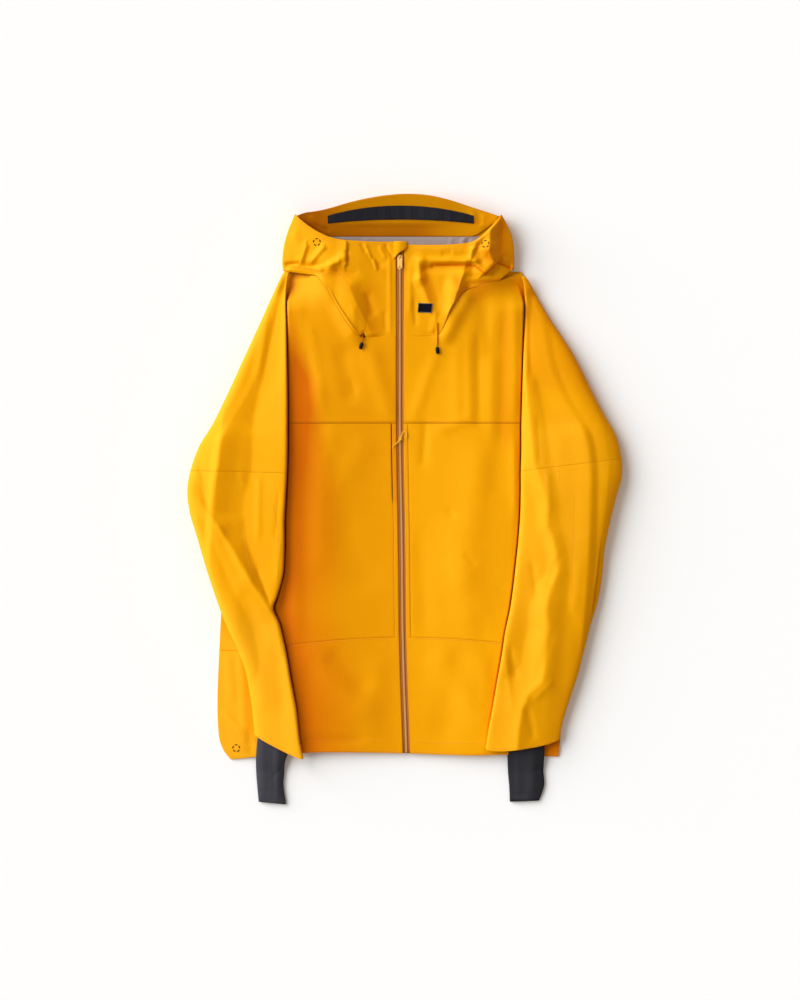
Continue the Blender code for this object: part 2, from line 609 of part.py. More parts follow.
def make_hood(cloths):
    facing_lift = 0.5 * CLOTH + LAYER_GAP + 0.5 * THIN_CLOTH
    band_lift = facing_lift + 0.5 * THIN_CLOTH + LAYER_GAP + 0.5
    hood_sheet("hood_crown", lambda x: back_top(x) + SEAM_GAP, arc_y, 0.0, CLOTH, 12,
               cloths["shell"])

    def facing_low(x):
        return LINING_TOP_Y + 26.0 * step((abs(x + 7.0) - 112.0) / 52.0)

    hood_sheet("brim_facing", facing_low, lambda x: arc_y(x) - 0.4, facing_lift, THIN_CLOTH, 7,
               cloths["shell"])
    x = np.linspace(-138.0, 128.0, 16)[None, :] + np.zeros((3, 1))
    y = np.array([[LINING_LOW_Y], [404.0], [LINING_TOP_Y - SEAM_GAP]]) + 0.0 * x
    lying("hood_lining", x, y, crown_height(x, y) + facing_lift, THIN_CLOTH, cloths["lining"])
    x = np.linspace(-122.5, 110.5, 16)[None, :] + np.zeros((3, 1))
    bow = 1.0 - ((x + 6.0) / 117.0) ** 2
    y = 441.5 + 6.5 * bow + np.array([[0.0], [0.5], [1.0]]) * (12.0 + 9.5 * bow)
    lying("brim_band", x, y, crown_height(x, y) + band_lift, 1.0, cloths["charcoal"])


def make_pouch(cloth):
    """The folded crown under the back: a flat rounded solid with three layers at its edge."""
    turns = np.arange(32) / 32 * 2 * math.pi
    levels = np.linspace(0.0, 1.0, 13)
    rings = []
    for level in levels:
        layer = 1.6 * abs(math.sin(3 * math.pi * level)) - 1.6
        grow = layer - 3.0 * abs(2 * level - 1) ** 6
        x = -6.0 + (128.0 + grow) * np.sign(np.cos(turns)) * abs(np.cos(turns)) ** 0.55
        y = 361.0 + (76.0 + grow) * np.sign(np.sin(turns)) * abs(np.sin(turns)) ** 0.6
        rings.append(np.stack([x, y, np.full(32, POUCH_HEIGHT * level)], -1))
    verts = np.concatenate(rings)
    faces = []
    for k in range(len(levels) - 1):
        for i in range(32):
            j = (i + 1) % 32
            faces.append([32 * k + i, 32 * k + j, 32 * (k + 1) + j, 32 * (k + 1) + i])
    faces.append(list(range(31, -1, -1)))
    faces.append([32 * (len(levels) - 1) + i for i in range(32)])
    return finish("hood_fold", verts, faces, cloth)


def make_chin_guard(cloth):
    """Flap from the left collar over the top of the zip, cut back below on a slant."""
    low = table("x y", (-17.6, 384.5), (-14.5, 387.6), (-11.0, 391.6), (-6.0, 395.6), (0.6, 399.6),
                (4.4, 403.0))
    high = table("x y", (-17.6, 412.3), (-13.2, 412.4), (-8.7, 412.5), (-4.3, 412.5), (0.2, 412.5),
                 (4.8, 412.3))
    rise = np.array([1.9, 4.6, 5.9, 5.9, 4.6, 2.6])
    along = np.linspace(0.0, 1.0, 5)[:, None]
    x = low["x"] + (high["x"] - low["x"]) * along
    y = low["y"] + (high["y"] - low["y"]) * along
    return lying("chin_guard", x, y, collar_height(x, y) + rise + 0.9 * along, CLOTH, cloth)


# Zip

def zip_height(y):
    """Height of the shell's cloth along the zip."""
    x = zip_x(y)
    return np.where(y < NECK_Y, front_height(x, np.minimum(y, NECK_Y)), collar_height(x, y))


def make_zip(cloths):
    bottom, top = hem(0.0) + 1.0, 409.5
    y = np.linspace(bottom, top, 30)[:, None]
    tape_drop = 0.5 * CLOTH + SEAM_GAP + 0.5 * THIN_CLOTH
    for side in SIDES:
        x = zip_x(y) + OUTWARD[side] * np.array([[0.15, 13.5]])
        lying(f"zip_tape_{side}", x, y + 0.0 * x, zip_height(y) + 0.0 * x - tape_drop, THIN_CLOTH,
              cloths["tape"])
    y = np.linspace(bottom + 0.6, SLIDER_Y - 9.5, 30)[:, None]
    x = zip_x(y) + np.array([[-2.4, 2.4]])
    chain_lift = 0.8 - 0.5 * CLOTH
    lying("zip_chain", x, y + 0.0 * x, zip_height(y) + 0.0 * x + chain_lift, 1.6, cloths["coil"])


def box(name, low, high, material, origin=(0.0, 0.0, 0.0), bevel=0.0):
    """Box between two corners given from an origin, which becomes the object's own."""
    corners = np.array([[x, y, z] for x in (low[0], high[0]) for y in (low[1], high[1])
                        for z in (low[2], high[2])], float)
    faces = [[0, 1, 3, 2], [4, 6, 7, 5], [0, 4, 5, 1], [2, 3, 7, 6], [0, 2, 6, 4], [1, 5, 7, 3]]
    part = finish(name, corners, faces, material, smooth=False)
    part.location = np.array(origin) * 0.001
    if bevel:
        rounding = part.modifiers.new("rounded edges", "BEVEL")
        rounding.width = bevel * 0.001
        rounding.segments = 2
    return part


def hide(part):
    part.hide_render = True
    part.display_type = "WIRE"


def cut(part, tool, operation="DIFFERENCE"):
    change = part.modifiers.new(operation.lower(), "BOOLEAN")
    change.operation = operation
    change.solver = "EXACT"
    change.object = tool
    hide(tool)


def ring(name, middle_radius, half_thick, half_width, material, origin):
    """Ring about the X axis with a square section."""
    turns = np.arange(20) / 20 * 2 * math.pi
    section = [(middle_radius - half_thick, -half_width), (middle_radius + half_thick, -half_width),
               (middle_radius + half_thick, half_width), (middle_radius - half_thick, half_width)]
    verts = [(w, r * math.sin(t), r * math.cos(t)) for t in turns for r, w in section]
    faces = []
    for i in range(20):
        j = (i + 1) % 20
        for k in range(4):
            n = (k + 1) % 4
            faces.append([4 * i + k, 4 * i + n, 4 * j + n, 4 * j + k])
    part = finish(name, verts, faces, material, smooth=False)
    part.location = np.array(origin) * 0.001
    return part


def make_slider(hard):
    """Slider with a small bridge; the tab's crossbar turns inside the bridge."""
    x = float(zip_x(SLIDER_Y))
    base = float(zip_height(SLIDER_Y))
    body_low = base - 0.5 * CLOTH + 0.1
    body_top = body_low + 2.5
    axis = np.array([x, SLIDER_Y, body_top + 0.95])
    body = box("slider", (-4.3, -8.6, body_low - axis[2]), (4.3, 3.4, body_top - axis[2]), hard,
               axis, bevel=0.7)
    bridge = ring("bridge", 1.5, 0.4, 0.8, hard, axis)
    cut(body, bridge, "UNION")
    tab = box("pull_tab", (-0.5 * TAB_WIDTH, -TAB_LENGTH, -0.5 * TAB_THICK),
              (0.5 * TAB_WIDTH, 0.6, 0.5 * TAB_THICK), hard, axis, bevel=0.35)
    eye = box("tab_eye", (-1.5, -3.8, -2.0), (1.5, -0.6, 2.0), hard, axis)
    cut(tab, eye)
    turns = np.arange(12) / 12 * 2 * math.pi
    hole = [(1.1 * math.cos(t), -TAB_LENGTH + 3.0 + 1.1 * math.sin(t), z) for z in (-2.0, 2.0) for t in turns]
    faces = [[i, (i + 1) % 12, 12 + (i + 1) % 12, 12 + i] for i in range(12)]
    faces += [list(range(11, -1, -1)), list(range(12, 24))]
    punch = finish("tab_hole", hole, faces, hard, smooth=False)
    punch.location = axis * 0.001
    cut(tab, punch)


# Cords and small trim

def top_of(parts, x, y):
    """Height of the highest of the pieces under each place, millimetres."""
    trees = []
    for part in parts:
        part.data.calc_loop_triangles()
        trees.append(BVHTree.FromPolygons([v.co for v in part.data.vertices],
                                          [t.vertices for t in part.data.loop_triangles]))
    tops = []
    for place in zip(np.ravel(x) * 0.001, np.ravel(y) * 0.001):
        hits = [tree.ray_cast(Vector((*place, 1.0)), Vector((0.0, 0.0, -1.0)))[0] for tree in trees]
        tops.append(max(hit.z for hit in hits if hit is not None) * 1000.0)
    return np.reshape(tops, np.shape(x))


def laid(parts, plan, lift):
    """A plan path laid on the pieces, lifted over the highest place near each point."""
    top = top_of(parts, plan[:, 0], plan[:, 1])
    ends = np.concatenate([top[:1], top, top[-1:]])
    top = np.maximum(np.maximum(ends[:-2], ends[2:]), top)
    return np.column_stack([plan, top + lift])


def make_toggle(side, end, direction, hard):
    """Barrel toggle that starts where its cord ends."""
    lengths = np.array([0.0, 0.0, 0.08, 0.3, 0.6, 0.85, 1.0, 1.0])
    widths = np.array([0.0, 0.55, 0.8, 1.0, 1.0, 0.85, 0.6, 0.0])
    turns = np.arange(12) / 12 * 2 * math.pi
    direction = np.array(direction, float)
    direction /= np.linalg.norm(direction)
    across = np.cross(direction, [0.0, 0.0, 1.0])
    across /= np.linalg.norm(across)
    upward = np.cross(direction, across)
    rings = []
    for length, width in zip(lengths[1:-1], widths[1:-1]):
        centre = np.array(end) + direction * (TOGGLE_GAP + length * TOGGLE_LENGTH)
        radius = 0.5 * TOGGLE_WIDTH * width
        rings.append(centre + radius * (np.cos(turns)[:, None] * across
                                        + 0.62 * np.sin(turns)[:, None] * upward))
    verts = np.concatenate(rings)
    faces = [[12 * k + i, 12 * k + (i + 1) % 12, 12 * (k + 1) + (i + 1) % 12, 12 * (k + 1) + i]
             for k in range(len(rings) - 1) for i in range(12)]
    faces += [list(range(11, -1, -1)), [12 * (len(rings) - 1) + i for i in range(12)]]
    part = finish(f"toggle_{side}", verts, faces, hard)
    return part


def make_trim(cloths, panels):
    left = curve(LEFT_CORD, "x y lift", np.linspace(0, 8, 40))
    left[:, 2] += front_height(left[:, 0], left[:, 1])
    left = even(left, 15)
    tube_curve("cord_left", left, CORD_WIDTH, cloths["cord"])
    make_toggle("left", left[-1] + TOGGLE_LIFT, LEFT_TOGGLE_TURN, cloths["toggle"])
    right = even(curve(RIGHT_CORD_PLAN, "x y", np.linspace(0, 6, 40)), 16)
    right = laid([panels["hood_side_right"], panels["front_upper_right"]], right, CORD_LIFT)
    tube_curve("cord_right", right, CORD_WIDTH, cloths["cord"])
    make_toggle("right", right[-1] + TOGGLE_LIFT, RIGHT_TOGGLE_TURN, cloths["toggle"])
    pocket = even(curve(POCKET_CORD_PLAN, "x y", np.linspace(0, 10, 60)), 20)
    height = front_height(pocket[:, 0], pocket[:, 1]) + 0.5 * CLOTH + CORD_LIFT + 0.3
    tube_curve("pocket_cord", np.column_stack([pocket, height]), CORD_WIDTH, cloths["cord"])
    low, high = LABEL_EDGES["low"], LABEL_EDGES["high"]
    along = np.linspace(0.0, 1.0, 4)[:, None, None]
    across = np.linspace(0.0, 1.0, 6)[None, :, None]
    plan = ((1 - along) * ((1 - across) * low[0] + across * low[1])
            + along * ((1 - across) * high[0] + across * high[1]))
    x, y = plan[..., 0], plan[..., 1]
    lying("label_patch", x, y, top_of([panels["hood_side_right"]], x, y) + LABEL_LIFT, LABEL_THICK,
          cloths["label"])


def main():
    for old in list(bpy.data.objects):
        bpy.data.objects.remove(old)
    cloths = {
        "shell": material("shell", (0.90, 0.38, 0.008), 0.5),
        "charcoal": material("charcoal", (0.045, 0.045, 0.055), 0.8),
        "lining": material("lining", (0.42, 0.39, 0.42), 0.75),
        "tape": material("tape", (0.42, 0.13, 0.02), 0.8),
        "coil": material("coil", (0.62, 0.26, 0.05), 0.55),
        "hard": material("hard_pull", (0.80, 0.46, 0.14), 0.45),
        "toggle": material("toggle", (0.012, 0.012, 0.014), 0.4),
        "cord": material("cord", (0.80, 0.22, 0.01), 0.7),
        "label": material("label", (0.01, 0.01, 0.016), 0.8),
    }
    make_back(cloths["shell"])
    make_fronts(cloths["shell"])
    panels = make_yokes(cloths["shell"])
    for side in SIDES:
        make_sleeve(f"sleeve_upper_{side}", side, 0, ELBOW_ROW - 0.004, 14, 18, cloths["shell"])
        make_sleeve(f"sleeve_lower_{side}", side, ELBOW_ROW + 0.004, len(SLEEVE[side]["rise"]) - 1,
                    14, 18, cloths["shell"])
        make_gaiter(side, cloths["charcoal"])
        panels[f"hood_side_{side}"] = make_hood_side(side, cloths["shell"])
    make_hood(cloths)
    make_pouch(cloths["shell"])
    make_chin_guard(cloths["shell"])
    make_zip(cloths)
    make_slider(cloths["hard"])
    make_trim(cloths, panels)


main()
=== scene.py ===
"""Looks of a hooded shell jacket laid on its back, front up.

Millimetres until a mesh is made: X across the chest, Y from hem to hood, Z up from the surface.
Each sewn piece is a thin wall of cloth on a fine grid. Its height comes from the same few
functions as the solids, with creases laid on them. Then come stitches, zip, cords and
patch, the cloth's finishes, the light and the camera.
"""

import json
import math

import bpy
import numpy as np
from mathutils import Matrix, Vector
from mathutils.bvhtree import BVHTree

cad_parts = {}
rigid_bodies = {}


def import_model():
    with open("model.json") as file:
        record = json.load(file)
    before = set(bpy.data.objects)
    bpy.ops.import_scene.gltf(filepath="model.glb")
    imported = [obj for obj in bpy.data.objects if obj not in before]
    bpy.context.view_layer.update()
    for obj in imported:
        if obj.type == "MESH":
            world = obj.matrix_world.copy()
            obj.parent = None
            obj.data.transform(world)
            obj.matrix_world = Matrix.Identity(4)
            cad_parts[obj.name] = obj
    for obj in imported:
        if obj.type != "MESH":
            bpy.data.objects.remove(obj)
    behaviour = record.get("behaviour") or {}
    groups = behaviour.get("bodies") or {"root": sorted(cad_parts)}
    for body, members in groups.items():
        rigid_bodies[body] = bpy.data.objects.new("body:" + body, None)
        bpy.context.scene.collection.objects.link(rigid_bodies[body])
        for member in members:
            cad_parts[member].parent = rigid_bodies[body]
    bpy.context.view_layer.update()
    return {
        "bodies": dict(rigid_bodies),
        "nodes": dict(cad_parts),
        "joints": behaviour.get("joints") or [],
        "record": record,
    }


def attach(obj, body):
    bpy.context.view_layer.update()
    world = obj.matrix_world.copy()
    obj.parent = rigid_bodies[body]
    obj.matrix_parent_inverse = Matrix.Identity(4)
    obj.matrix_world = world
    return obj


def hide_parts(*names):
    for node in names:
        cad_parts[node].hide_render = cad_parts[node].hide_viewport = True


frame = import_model()

# Sizes that the solids share
CLOTH = 1.5
THIN_CLOTH = 1.1
SEAM_GAP = 0.3
LAYER_GAP = 1.2
HALF_ZIP_SLOT = 5.9
NECK_Y = 260.5
CHEST_SEAM_Y = 122.0
ARMPIT_Y = 104.0
ARMPIT_RUN = 26.0
LOWER_SEAM_Y = -219.5
LOWER_SEAM_DROP = 13.0
PLACKET_WIDTH = 6.8
POCKET_SLOT = 1.6
SLOT_END_Y = -8.0
UNDER_SLEEVE_Z = 4.0
FLANK_OUT = 203.0
FLANK_RUN = 84.0
BACK_LIFT = 8.7
BACK_LIFT_Y = 236.0
BACK_LIFT_RUN = 40.0
BACK_LIFT_HALF = 186.0
SHOULDER_Y = 366.0
LINING_TOP_Y = 421.5
LINING_LOW_Y = 386.0
CROWN_FOOT_Y = 398.0
ARC_Z = 42.0
ARC_CORNER_Z = 31.0
UNDER_FOLD = 5.0
FOLD_SQUARE = 0.85
ARMHOLE_CLEAR = 2.2
SEAM_SHARE = 0.2
CORD_EXIT = 6.4
CORD_EXIT_ROW = 3
SLIDER_Y = 388.0
CORD_WIDTH = 1.8
TOGGLE_LENGTH = 11.5
TOGGLE_WIDTH = 6.4
TOGGLE_GAP = 0.8

MM = 0.001                # metres in a millimetre
UP = np.array([0.0, 0.0, 1.0])
HALF_SEAM = 0.5 * SEAM_GAP
EDGE_RUN = 30.0           # the front rises from its side seam over this run
SHOULDER_ROLL = 18.0      # and rolls down to the back over this one along the shoulders,
SHOULDER_INNER_X = 140.0  # from here outwards
BRIM_MIDDLE_X = -10.0
HEM_WIDTH = 19.0
ZIP_TOP_Y = 409.5
ZIP_STITCH = 1.4          # stitches beside the zip lie this far from the edge of its slot
LIP = 0.13                # a cloth's rounded edge stands out by this
LOWEST_CLOTH = 1.6
# Grids: lines near a panel's edges and beside the sleeve's fold, and counts of lines
NEAR_EDGE = np.array([0.0, 0.7, 1.5, 2.5, 4.0])
FOLD_LINES = np.array([-1.2, 0.2, 0.8, 1.3, 1.8, 2.3, 2.8, 3.3, 3.9, 4.8, 6.2, 8.0, 10.3])
FOLD_CLEAR = 13.0
TAPE_LINES = np.array([0.15, 1.2, 2.2, 3.2, 4.2, 4.9, 5.6, 7.0, 10.0, 13.5])
FRONT_COLUMNS = {"front_lower_left": 30, "front_lower_right": 26, "front_middle_left": 24,
                 "front_middle_right": 14}
HEM_ROWS = 60
MIDDLE_ROWS = 103
SLEEVE_LENGTH = 330.0
SLEEVE_ROWS = 132
SLEEVE_COLUMNS = 126
UNDER_PART = 0.1          # share of a sleeve's columns from its seam to each fold
HOOD_WIDTH = 230.0
HOOD_LENGTH = 150.0
POUCH_TURNS = 128
# Zip, pull tab, cords, rings, camera and table
ZIP_PITCH = 3.8
COIL_WIRE = 0.8
COIL_DROP = 0.4
TAB_TURNS = 56
TAB_HALF_WIDE = 3.9
TAB_HALF_THICK = 0.6
TAB_SPLIT = -10.0
TOGGLE_LIFT = np.array([0.0, 0.0, 1.4])
KNOT_ROW = 3.7
RING_REACH = 5.4
CAMERA_PLACE = (-0.0072, 0.0, 6.02)
TABLE_HALF = 6.0
# Filled while the script runs: ray trees by piece, node groups by name
TREES = {}
GROUPS = {}

SIDES = ("left", "right")
OUTWARD = {"left": -1.0, "right": 1.0}


def table(names, *rows):
    """Named columns from rows."""
    return {name: np.array(column, float) for name, column in zip(names.split(), zip(*rows))}


FOLD = "x1 y1 x2 y2 width height"
CREASE = FOLD + " sharp"
BODY_EDGE = {
    "left": table(
        "y x", (-416, -279), (-400, -291), (-376, -298), (-320, -300), (-240, -297), (-181, -294),
        (-96, -289), (32, -279), (80, -274), (104, -267), (128, -254), (150, -240), (175, -226), (200, -215),
        (240, -204), (300, -197), (352, -190), (368, -184)),
    "right": table(
        "y x", (-414, 246), (-381, 250), (-320, 254), (-240, 261), (-160, 267), (-80, 272), (32, 275),
        (80, 271), (104, 265), (128, 253), (150, 239), (175, 226), (200, 215), (240, 205), (300, 199),
        (346, 194), (362, 190), (368, 186)),
}
HEM = table(
    "x y", (-300, -417), (-279, -416), (-228, -411), (-162, -405), (-103, -404), (1, -406), (103, -409),
    (162, -408), (226, -411), (260, -411))
ZIP_LINE = table(
    "y x", (-406, 3), (-378, 2.4), (-235, -2.4), (-64, -4.3), (96, -7), (250, -7.2), (412, -7.2))
PUFF = table(
    "y z", (-414, 9), (-380, 12), (-300, 16), (-150, 19), (0, 20), (122, 21.5), (200, 24), (247, 27.5),
    (300, 31), (350, 34.5), (390, 37), (412, 38))
NECK_SEAM = {
    "left": table(
        "x y", (-40, 260.2), (-60, 259.2), (-66.5, 259.4), (-73, 262.5), (-83, 272), (-96, 290), (-108, 310),
        (-119, 331), (-130, 346), (-141, 358)),
    "right": table(
        "x y", (20, 260.8), (46, 262), (53, 262.8), (59, 268), (66, 282), (74, 303), (85, 321), (98, 334),
        (121, 342), (148, 349)),
}
# Top edge of the back: shoulders, and the neck seam between them
BACK_TOP = table(
    "x y", (-184.7, 366), (-156, 366), (-132, 351), (-108, 338), (-80, 332), (-48, 330), (-16, 330),
    (16, 330), (48, 330), (78, 332), (103, 338), (124, 351), (156, 366), (186.6, 366))
# Lower fold of the hood's side, from the neck seam to the outline
HOOD_FOLD_EDGE = {
    "left": table("x y z", (-154, 360.5, 27), (-167, 362.5, 24), (-180, 364.5, 21), (-193, 367, 17)),
    "right": table("x y z", (155, 354, 25), (162, 360, 23), (168, 365, 20), (173.5, 369, 17)),
}
# From the lower fold to the corner of the face opening
HOOD_OUTLINE = {
    "left": table(
        "x y z", (-193, 367, 17), (-194, 384, 19), (-191, 409, 23), (-184, 432, 28), (-174, 456, 33)),
    "right": table(
        "x y z", (173.5, 369, 17), (174, 392, 20), (171, 418, 25), (163, 439, 29), (154, 455, 33)),
}
# Front edge of collar and hood, from the zip to that corner
FACE_EDGE = {
    "left": table(
        "x y z", (-14, 412, 38), (-40, 412, 39), (-68, 413, 40.5), (-98, 415, 41.5), (-118, 419, 41.5),
        (-134, 426, 40.5), (-151, 436, 38), (-166, 448, 35.5), (-174, 456, 33)),
    "right": table(
        "x y z", (-0.5, 408, 38), (24, 407, 39), (52, 407, 40), (80, 408, 41), (102, 410.5, 41),
        (114, 415, 40), (126, 424, 38.5), (140, 438, 36), (154, 455, 33)),
}
# Side edges of the hood's crown
HOOD_INSIDE = {
    "left": table("y x", (351, -132), (400, -146), (430, -159), (454, -170)),
    "right": table("y x", (351, 124), (400, 134), (430, 143), (452, 150)),
}
BRIM_ARC = table(
    "x y", (-172.5, 454), (-158, 459), (-142, 461), (-118, 466), (-94, 473), (-60, 481), (-28, 486),
    (4, 488.2), (38, 486), (70, 479), (99, 470), (118, 464), (134, 459), (152.5, 452.5))
# Sleeve rows from the head to the cuff: outer fold, inner fold and height of the tube
SLEEVE = {
    "left": table(
        "out_x out_y in_x in_y rise", (-192, 367, -168, 365, 10), (-199, 354, -180, 351, 14),
        (-216, 318, -190, 317, 20), (-228, 291, -189, 284, 25), (-255, 232, -188, 226, 31),
        (-282, 173, -187, 164, 35), (-307, 122, -187, 114, 37), (-329, 86, -187, 82, 38),
        (-343, 47, -188, 43, 38), (-348, 14, -190, 4, 38), (-344, -20, -192, -34, 37),
        (-334, -54, -192, -76, 36), (-321, -98, -194, -117, 35), (-308, -138, -203, -152, 34),
        (-293, -181, -210, -174, 34), (-280, -212, -200, -198, 33), (-265, -244, -190, -240, 32),
        (-254, -276, -182, -286, 31), (-246, -320, -173, -335, 28), (-242, -352, -168, -382, 26),
        (-240, -375, -162, -414, 24)),
    "right": table(
        "out_x out_y in_x in_y rise", (191, 357, 176, 354, 10), (201, 347, 186, 342, 14),
        (217, 318, 193, 315, 20), (236, 286, 192, 280, 26), (270, 234, 190, 226, 32),
        (302, 171, 188, 162, 35), (322, 133, 187, 118, 37), (339, 103, 187, 84, 38), (348, 66, 186, 46, 38),
        (348, 36, 186, 14, 38), (339, 4, 185, -26, 37), (328, -42, 182, -66, 36), (320, -84, 178, -104, 35),
        (317, -120, 174, -139, 34), (310, -162, 169, -174, 34), (299, -198, 161, -212, 33),
        (288, -240, 156, -246, 32), (277, -282, 149, -286, 30), (262, -327, 142, -327, 28),
        (252, -362, 135, -366, 26), (249, -381, 130, -398, 24)),
}
ELBOW_ROW = 8
CUFF_BOW = {"left": 4.0, "right": 9.0}
# Gaiter rows, from inside the cuff to its own end: the two folds, underside and height
GAITER = {
    "left": table(
        "out_x in_x out_y in_y low rise", (-229, -178, -345, -361, 9.5, 9), (-235, -184, -378, -396, 9.5, 9),
        (-238, -191, -412, -418, 6, 9), (-238, -193, -436, -438, 0, 9), (-236, -194, -462, -458, 0, 8),
        (-234, -190, -484, -488.2, 0, 7)),
    "right": table(
        "out_x in_x out_y in_y low rise", (222, 168, -350, -352, 9.5, 9), (225, 166, -384, -388, 9.5, 9),
        (224, 165, -410, -412, 6, 9), (223, 166, -434, -436, 0, 9), (224, 168, -458, -460, 0, 8),
        (216, 169, -482, -484, 0, 7)),
}
# Largest folds of front and collar: a line, the fold's half width and its height
BODY_FOLDS = table(
    FOLD, (-131, 350, -84, 272, 13, 5.0), (-96, 300, -74, 262, 12, 4.0), (-160, 340, -150, 200, 16, -2.5),
    (97, 322, 66, 262, 12, 4.5), (60, 350, 66, 300, 14, 4.0), (126, 318, 140, 240, 16, -2.5),
    (30, 352, 24, 312, 10, -3.0), (-130, 90, -138, -90, 22, 2.0), (118, 60, 96, -120, 24, 2.0),
    (-150, -250, -70, -330, 24, 2.2), (60, -260, 120, -350, 22, 2.0))
HOOD_FOLDS = table(
    FOLD, (-186, 372, -128, 374, 7, -4.0), (-120, 372, -96, 388, 8, 3.5), (112, 380, 30, 383, 6, 4.0),
    (108, 370, 34, 370, 6, -4.5), (134, 376, 124, 398, 9, 4.0), (-60, 400, -40, 376, 7, -2.0))
# Left cord: its plan and its height over the front's cloth, from inside the collar to the toggle
LEFT_CORD = table(
    "x y lift", (-55.2, 286.8, -9), (-58.2, 280.8, -9), (-61.2, 274.8, -8.2), (-63.7, 269.8, -6.2),
    (-65.5, 266, -3.3), (-66.4, 263.2, -0.6), (-66.9, 260.9, 1.7), (-67, 258.6, 3), (-67, 252.6, 2.9))
LEFT_TOGGLE_TURN = (-0.32, -1.0, -0.1)
RIGHT_CORD_PLAN = table(
    "x y", (52.4, 284), (52.5, 277), (52.6, 270), (52.6, 263), (52.5, 257), (52.3, 251), (52, 245.5))
RIGHT_TOGGLE_TURN = (0.13, -1.0, -0.06)
POCKET_CORD_PLAN = table(
    "x y", (-20, 84), (-17, 87), (-13, 90.5), (-9, 94), (-6.4, 98), (-4.8, 102.5), (-3.2, 107), (0, 109.3),
    (3.2, 107.4), (3.4, 103), (2.4, 98.5))
LABEL_EDGES = {"low": np.array([[20.8, 299.6], [43.6, 298.6]]),
               "high": np.array([[22.1, 314.6], [44.9, 313.6]])}


def unit(vectors):
    """Vectors along the last axis with their lengths made 1."""
    return vectors / np.linalg.norm(vectors, axis=-1)[..., None]


def step(value):
    """Smooth rise from 0 to 1 with the value: three times its square less twice its cube."""
    value = np.clip(value, 0.0, 1.0)
    return value * value * (3.0 - 2.0 * value)


def spline(points, at):
    """Catmull-Rom curve through points along their first axis, read at row numbers that may lie
    between rows."""
    at = np.clip(np.asarray(at, float), 0.0, len(points) - 1.0)
    row = np.minimum(at.astype(int), len(points) - 2)
    part = (at - row).reshape(at.shape + (1,) * (points.ndim - 1))
    ends = np.concatenate(([2 * points[0] - points[1]], points, [2 * points[-1] - points[-2]]))
    a, b, c, d = (ends[row + i] for i in range(4))
    return b + 0.5 * part * (c - a + part * (2 * a - 5 * b + 4 * c - d + part * (3 * (b - c) + d - a)))


def curve(columns, names, at):
    """Points on the smooth curve through a table's rows, one column for each name."""
    return np.stack([spline(columns[name], at) for name in names.split()], axis=-1)


def read(columns, key, value, want):
    """Value of one column where another, rising one has the given value."""
    rows = np.linspace(0, len(columns[key]) - 1, 12 * len(columns[key]))
    return np.interp(value, spline(columns[key], rows), spline(columns[want], rows))


def even(points, count):
    """The same path with evenly spaced points."""
    length = np.concatenate(([0.0], np.cumsum(np.linalg.norm(np.diff(points, axis=0), axis=1))))
    at = np.linspace(0.0, length[-1], count)
    return np.stack([np.interp(at, length, points[:, i]) for i in range(points.shape[1])], axis=-1)


def power(value, share):
    """A value's size to a power, with its sign kept."""
    return np.sign(value) * abs(value) ** share


def distance(x, y, line):
    """Distance of each place from the nearest part of the line between two points."""
    x1, y1, x2, y2 = line
    length = math.hypot(x2 - x1, y2 - y1)
    along = np.clip(((x - x1) * (x2 - x1) + (y - y1) * (y2 - y1)) / length ** 2, 0.0, 1.0)
    return np.hypot(x - x1 - along * (x2 - x1), y - y1 - along * (y2 - y1))


def beside(x, y, line):
    """Distance from a line times the line's length: above 0 to its right, below 0 to its left."""
    x1, y1, x2, y2 = line
    return (x - x1) * (y2 - y1) - (y - y1) * (x2 - x1)


def fold_height(folds, x, y):
    """Soft ridges and troughs: each a bell across its line, fading past the line's ends."""
    total = np.zeros_like(np.asarray(x, float) + y)
    for *line, width, height in zip(*folds.values()):
        total = total + height * np.exp(-(distance(x, y, line) / width) ** 2)
    return total


# The cloth's heights

def body_edge(y, side):
    """X of a side seam, where fronts and back meet."""
    return read(BODY_EDGE[side], "y", y, "x")


def zip_x(y):
    """X of the zip's middle, which lies in a slight curve."""
    return read(ZIP_LINE, "y", y, "x")


def puff(y):
    """Height of the chest and the collar beside the zip."""
    return read(PUFF, "y", y, "z")


def chest_share(x):
    """1 over the chest, falling to 0 on the flanks under the sleeves."""
    return step((FLANK_OUT - abs(x)) / FLANK_RUN)


def back_height(x, y):
    """Flat on the surface, raised where the folded hood lies under it."""
    lift = step((y - BACK_LIFT_Y) / BACK_LIFT_RUN) * step((BACK_LIFT_HALF - abs(x)) / BACK_LIFT_RUN)
    return 0.5 * CLOTH + BACK_LIFT * lift


def front_height(x, y):
    """Low at the side seams and under the sleeves, raised over the chest, with its folds, and
    rolled down to the back along the shoulders."""
    inside = np.minimum(body_edge(y, "right") - x, x - body_edge(y, "left"))
    edge = 1.5 * CLOTH + SEAM_GAP
    low = edge + (UNDER_SLEEVE_Z - edge) * step(inside / EDGE_RUN)
    chest = chest_share(x)
    shoulder = (step((SHOULDER_Y + 2.0 - y) / SHOULDER_ROLL)
                + (1.0 - step((abs(x) - SHOULDER_INNER_X) / 14.0)))
    height = low + (puff(y) - low) * chest + chest * fold_height(BODY_FOLDS, x, y)
    rolled = back_height(x, y) + CLOTH + 2.5 * SEAM_GAP
    return rolled + (height - rolled) * np.clip(shoulder, 0.0, 1.0)


def arc_y(x):
    """Y of the brim's upper edge, an arc."""
    return read(BRIM_ARC, "x", x, "y")


